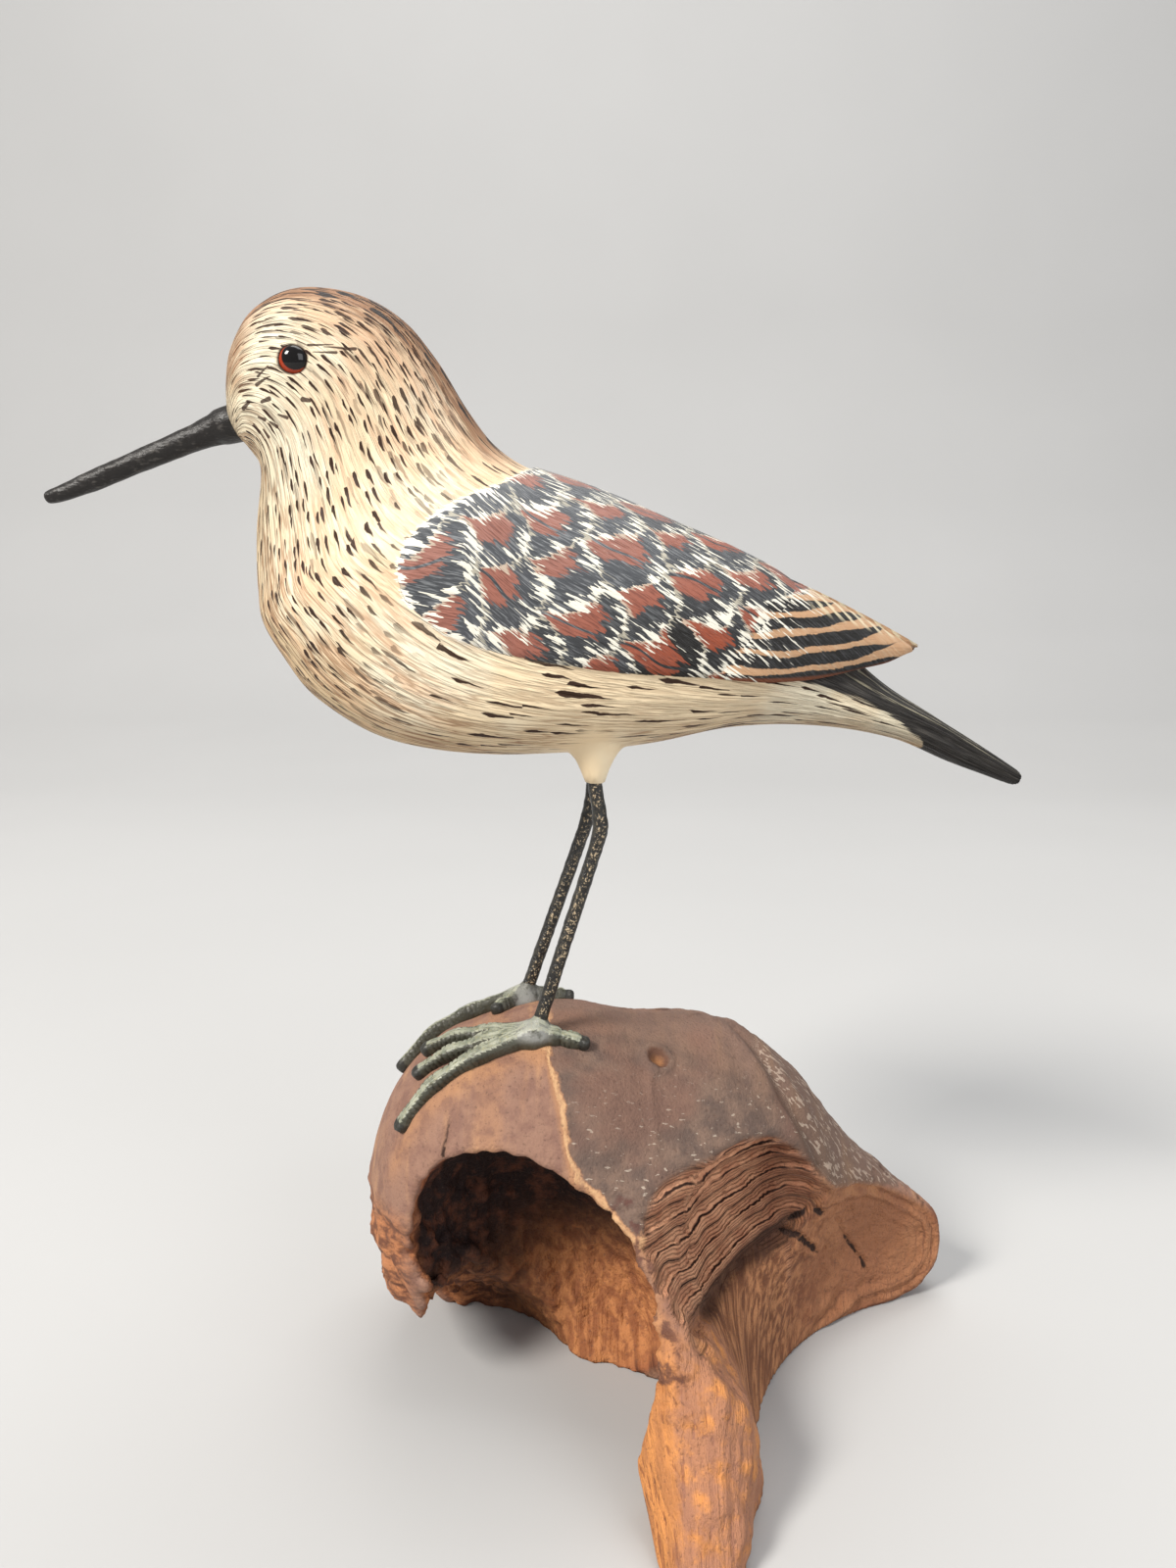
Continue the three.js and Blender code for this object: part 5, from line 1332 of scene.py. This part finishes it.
belly = bird_at[2]
heels = {}
for name, side, knee_x, heel_x in LEGS:
    y = side * LEG_SPREAD / 2
    hip = np.array([HIP_X, y, belly - THIGH_DROP])
    knee = np.array([knee_x, y, hip[2] - KNEE_DROP])
    heel = wood_top(heel_x, y)
    heels[name] = heel
    shin = (heel - knee) / np.linalg.norm(heel - knee)
    thigh = (hip - knee) / np.linalg.norm(hip - knee)
    bends = np.array([
        hip + BEND * thigh, hip, knee + BEND * thigh, knee + BEND * shin, (knee + heel) / 2, heel,
        heel + BEND * shin])
    axis = through(bends, np.linspace(0, len(bends) - 1, 121))
    middle_line = bpy.data.meshes.new(f"wire_line_{name}")
    steps = [(i, i + 1) for i in range(len(axis) - 1)]
    middle_line.from_pydata(((axis + wood_at) / 1000).tolist(), steps, [])
    swell_at = 1 + KNEE_SWELL * bell(axis[:, 2] - knee[2], KNEE_REACH)
    swell = middle_line.attributes.new("swell", "FLOAT", "POINT")
    swell.data.foreach_set("value", swell_at.astype(np.float32))
    leg = bpy.data.objects.new(f"wire_leg_{name}", middle_line)
    bpy.context.scene.collection.objects.link(leg)
    bending = leg.modifiers.new("lumpy wire", "NODES")
    bending.node_group = wire_tree
    bending[input_names["Wire"]] = WIRE / 1000
    bending[input_names["Seed"]] = 20.0 + side
    leg.data = bpy.data.meshes.new_from_object(leg.evaluated_get(bpy.context.evaluated_depsgraph_get()))
    leg.modifiers.remove(bending)
    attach(leg, "root")
    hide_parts(f"leg_{name}")

# Feet
# Modelled in putty over the driftwood round each wire: a broad palm, three toes ahead and a
# short one behind, notched with scutes along their sides and blunt at the tips. Painted sage
# green, worn to olive and cream, with black toe ends, and painted shade along the toes' sides
# and between them.
TOE_ROOT, TOE_TIP, PUTTY_CELL, SCUTE, FOOT_SINK = 2.2, 1.5, 0.36, 1.25, 0.5  # mm
# heading in degrees from straight ahead, length
TOES = {
    "left": [(-12, 38), (3, 30), (17, 29), (188, 13)],
    "right": [(-54, 11), (-13, 35), (14, 23), (172, 13)],
}


def toe_axis(heel, heading, length):
    """The middle line of a toe over the wood: points, upward directions and mm from the heel."""
    plan = np.arange(0, length + 0.1, 0.5)
    turn = math.radians(heading)
    track = wood_top(heel[0] - plan * math.cos(turn), heel[1] + plan * math.sin(turn))
    run = np.concatenate([[0], np.cumsum(np.linalg.norm(np.diff(track, axis=0), axis=1))])
    stops = np.linspace(0, length - TOE_TIP, max(6, int(length / 2.2)))
    track = np.stack([np.interp(stops, run, track[:, i]) for i in range(3)], -1)
    up = slope_of(whole_wood, track)
    radius = toe_radius(stops / length)
    return track + up * (0.62 * radius)[:, None], up, stops


def toe_radius(share):
    """A toe's half breadth along its length, with low knuckles."""
    knuckles = 1 + 0.09 * np.cos(2 * np.pi * (share * 3.2 - 0.1)) * step(share, 0.2, 0.4)
    return (TOE_ROOT + (TOE_TIP - TOE_ROOT) * share) * knuckles


def from_toe(place, toe, length):
    """Distance to a toe, and how far along and to which side of its middle line a place is."""
    axis, up, stops = toe
    best = np.full(place.shape[:-1], 1e9, np.float32)
    along, aside = np.zeros_like(best), np.zeros_like(best)
    for i in range(len(axis) - 1):
        run = axis[i + 1] - axis[i]
        offset = place - axis[i].astype(place.dtype)
        share = np.clip(offset @ run.astype(place.dtype) / (run @ run), 0, 1)
        offset = offset - share[..., None] * run.astype(place.dtype)
        tall = offset @ up[i].astype(place.dtype)
        wide = np.sqrt(np.maximum((offset ** 2).sum(-1) - tall ** 2, 0))
        at = stops[i] + share * (stops[i + 1] - stops[i])
        gap = (wide ** 3 + np.abs(tall) ** 3) ** (1 / 3) - toe_radius(at / length)
        nearer = gap < best
        side = np.cross(up[i], run / np.linalg.norm(run)).astype(place.dtype)
        best = np.where(nearer, gap, best)
        along = np.where(nearer, at, along)
        aside = np.where(nearer, offset @ side, aside)
    return best, along, aside


putty, t, shader = new_paint("putty_feet")
place = place_mm(t)
toe_run, toe_end, edge_at, notch_at, boss_at = (
    field_of(t, name) for name in ("run", "end", "edge", "notch", "boss"))
daubs = noise_of(t, place, scale=0.35, detail=3, roughness=0.6)
specks = noise_of(t, place, scale=1.4, detail=3, roughness=0.65)
foot_coat = colour_mix(t, rising(t, daubs, 0.4, 0.66), (0.29, 0.30, 0.225), (0.15, 0.165, 0.12))
foot_coat = coated(t, foot_coat, (0.34, 0.31, 0.17), rising(t, specks, 0.5, 0.66), 0.55)
foot_coat = coated(t, foot_coat, (0.05, 0.05, 0.032), falling(t, specks, 0.32, 0.42), 0.6)
along_toe = joined(t, times(t, toe_run, 0.12), times(t, edge_at, 1.6))
toe_lines = noise_of(t, along_toe, scale=1.5, detail=3, roughness=0.6)
foot_coat = coated(t, foot_coat, (0.42, 0.42, 0.33), rising(t, toe_lines, 0.52, 0.6), 0.6)
foot_coat = coated(t, foot_coat, (0.04, 0.042, 0.03), falling(t, toe_lines, 0.38, 0.46), 0.75)
saw = calc(t, "FRACT", times(t, toe_run, 1 / SCUTE))
# Painted shade along the sides of the toes and between them, jagged with the scutes.
side_shade = rising(t, times_plus(t, saw, 0.22, times_plus(t, specks, 0.3, edge_at)), 0.86, 0.98)
foot_coat = coated(t, foot_coat, (0.03, 0.028, 0.018), side_shade, 0.9)
foot_coat = coated(t, foot_coat, (0.04, 0.036, 0.02), notch_at, 0.85)
boss = times(t, boss_at, rising(t, daubs, 0.32, 0.5))
foot_coat = coated(t, foot_coat, (0.40, 0.40, 0.38), boss, 0.8)
black_end = rising(t, times_plus(t, specks, 1.6, toe_end), -1.9, -1.3)
foot_coat = colour_mix(t, black_end, foot_coat, (0.022, 0.021, 0.016))
relief = times_plus(t, specks, 0.6, daubs)
finish_paint(t, shader, foot_coat, times_plus(t, specks, 0.4, 0.25), relief, 0.8, 0.0003)

for name, _, knee_x, _ in LEGS:
    heel = heels[name]
    shin = np.array([knee_x, heel[1], belly - THIGH_DROP - KNEE_DROP]) - heel
    shin /= np.linalg.norm(shin)
    toes = [(toe_axis(heel, heading, length), length) for heading, length in TOES[name]]

    def foot(place):
        """Distance to this foot, laid over the wood."""
        ankle = boulder(place, heel + (0, 0, 1.2), (4.3, 3.8, 2.9))
        ankle = soft_union(ankle, limb(place, heel, heel + 6.5 * shin, 3.2, 1.3), 2.0)
        for toe, length in toes:
            ankle = soft_union(ankle, from_toe(place, toe, length)[0], 1.3)
        return np.maximum(ankle, -FOOT_SINK - whole_wood(place))

    low = np.min([toe[0].min(0) for toe, _ in toes], 0) - 4
    high = np.max([toe[0].max(0) for toe, _ in toes], 0) + (4, 4, 9)
    points, faces = skin_of(foot, low, high, PUTTY_CELL)
    for _ in range(2):
        points = points - slope_of(foot, points) * foot(points)[:, None]
    reached = [from_toe(points, toe, length) for toe, length in toes]
    nearest = np.argmin([r[0] for r in reached], 0)
    along, aside = (
        np.take_along_axis(np.array([r[i] for r in reached]), nearest[None], 0)[0] for i in (1, 2))
    length = np.array([length for _, length in toes])[nearest]
    off_ankle = np.linalg.norm(points - heel, axis=1)
    radius = toe_radius(along / length)
    edge = np.abs(aside) / radius
    toward_tip = step(along / length, 0.22, 0.42) * (1 - step(along / length, 0.86, 0.95))
    scute = np.abs(np.sin(np.pi * (along + 0.25 * rough(points, 3, seed=31)) / SCUTE))
    notch = (1 - step(scute, 0.12, 0.42)) * step(edge, 0.2, 0.5) * toward_tip
    normal = slope_of(foot, points, 0.25)
    crease = bell(edge - 0.15 - 0.3 * rough(points, 6, seed=32), 0.16) * step(along, 4, 10)
    shift = 0.12 * rough(points, 2.6, seed=33, octaves=3) - 0.4 * notch - 0.12 * crease * (1 - toward_tip)
    above = step(whole_wood(points), -0.2, 0.3)
    points = points + normal * (shift * above)[:, None]
    boss = (1 - step(off_ankle, 3.0, 6.5)) * step(points[:, 2] - heel[2], -0.5, 1.8)
    piece = make_piece(f"putty_foot_{name}", points + wood_at, facing_out(points, faces.tolist()), {
        "run": along, "end": along - length, "edge": edge, "notch": notch, "boss": boss})
    piece.data.materials.append(putty)
    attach(piece, "root")
    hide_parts(f"foot_{name}")

# Floor, light and camera
# A plain pale floor that curves up behind, three soft lights, and the camera where the
# photograph was taken from: a little above the bird and 271 mm from it, tilted 9 degrees down.
CAMERA_BACK, CAMERA_HIGH, TILT = 271.4, 185.0, 9.0
FOCUS, PHOTO_HIGH, SENSOR = 1202, 1600, 36  # pixels, pixels, mm
AIM_HEIGHT = 0.13  # the lights point at the middle of the object

sweep = [(-1.2, 0.0), (0.9, 0.0), (1.25, 0.03), (1.5, 0.14), (1.66, 0.34), (1.72, 0.62), (1.72, 2.6)]
floor_mesh = bpy.data.meshes.new("floor")
floor_points = [(x, y, z) for y, z in sweep for x in (-3.0, 3.0)]
floor_mesh.from_pydata(floor_points, [], grid_faces(len(sweep), 2, False)[:, ::-1].tolist())
floor_mesh.shade_smooth()
floor = bpy.data.objects.new("floor", floor_mesh)
bpy.context.scene.collection.objects.link(floor)
floor_paint, t, shader = new_paint("pale_floor")
mottle = noise_of(t, place_mm(t), scale=0.004, detail=2)
floor_coat = colour_mix(t, mottle, (0.42, 0.418, 0.415), (0.45, 0.448, 0.445))
t.links.new(floor_coat, shader.inputs["Base Color"])
shader.inputs["Roughness"].default_value = 0.9
floor_mesh.materials.append(floor_paint)

world = bpy.data.worlds.new("studio")
bpy.context.scene.world = world
world.use_nodes = True
sky = world.node_tree.nodes["Background"].inputs
sky["Color"].default_value = (0.93, 0.96, 1.0, 1)
sky["Strength"].default_value = 0.4
# name, place, width, watts, tint
lights = [
    ("key", (-1.5, -1.3, 1.8), 0.7, 88.0, (1.0, 0.96, 0.90)),
    ("fill", (1.5, -1.6, 1.1), 1.5, 24.0, (0.97, 0.98, 1.0)),
    ("top", (0.2, 0.5, 2.1), 1.4, 30.0, (1.0, 0.99, 0.97)),
]
for name, spot_at, width, power_of, tint in lights:
    lamp = bpy.data.lights.new(name, "AREA")
    lamp.size, lamp.energy, lamp.color = width, power_of, tint
    holder = bpy.data.objects.new(name, lamp)
    holder.location = spot_at
    aim = Vector((0.0, 0.0, AIM_HEIGHT)) - Vector(spot_at)
    holder.rotation_euler = aim.to_track_quat("-Z", "Y").to_euler()
    bpy.context.scene.collection.objects.link(holder)

bpy.context.scene.view_settings.view_transform = "Standard"
lens = bpy.data.cameras.new("camera")
lens.lens, lens.sensor_width, lens.sensor_fit = FOCUS / PHOTO_HIGH * SENSOR, SENSOR, "AUTO"
lens.clip_start, lens.clip_end = 0.01, 50
camera = bpy.data.objects.new("camera", lens)
camera.location = (bird_at[0] / 1000, (bird_at[1] - CAMERA_BACK) / 1000, CAMERA_HIGH / 1000)
camera.rotation_euler = (math.radians(90 - TILT), 0, 0)
bpy.context.scene.collection.objects.link(camera)
bpy.context.scene.camera = camera
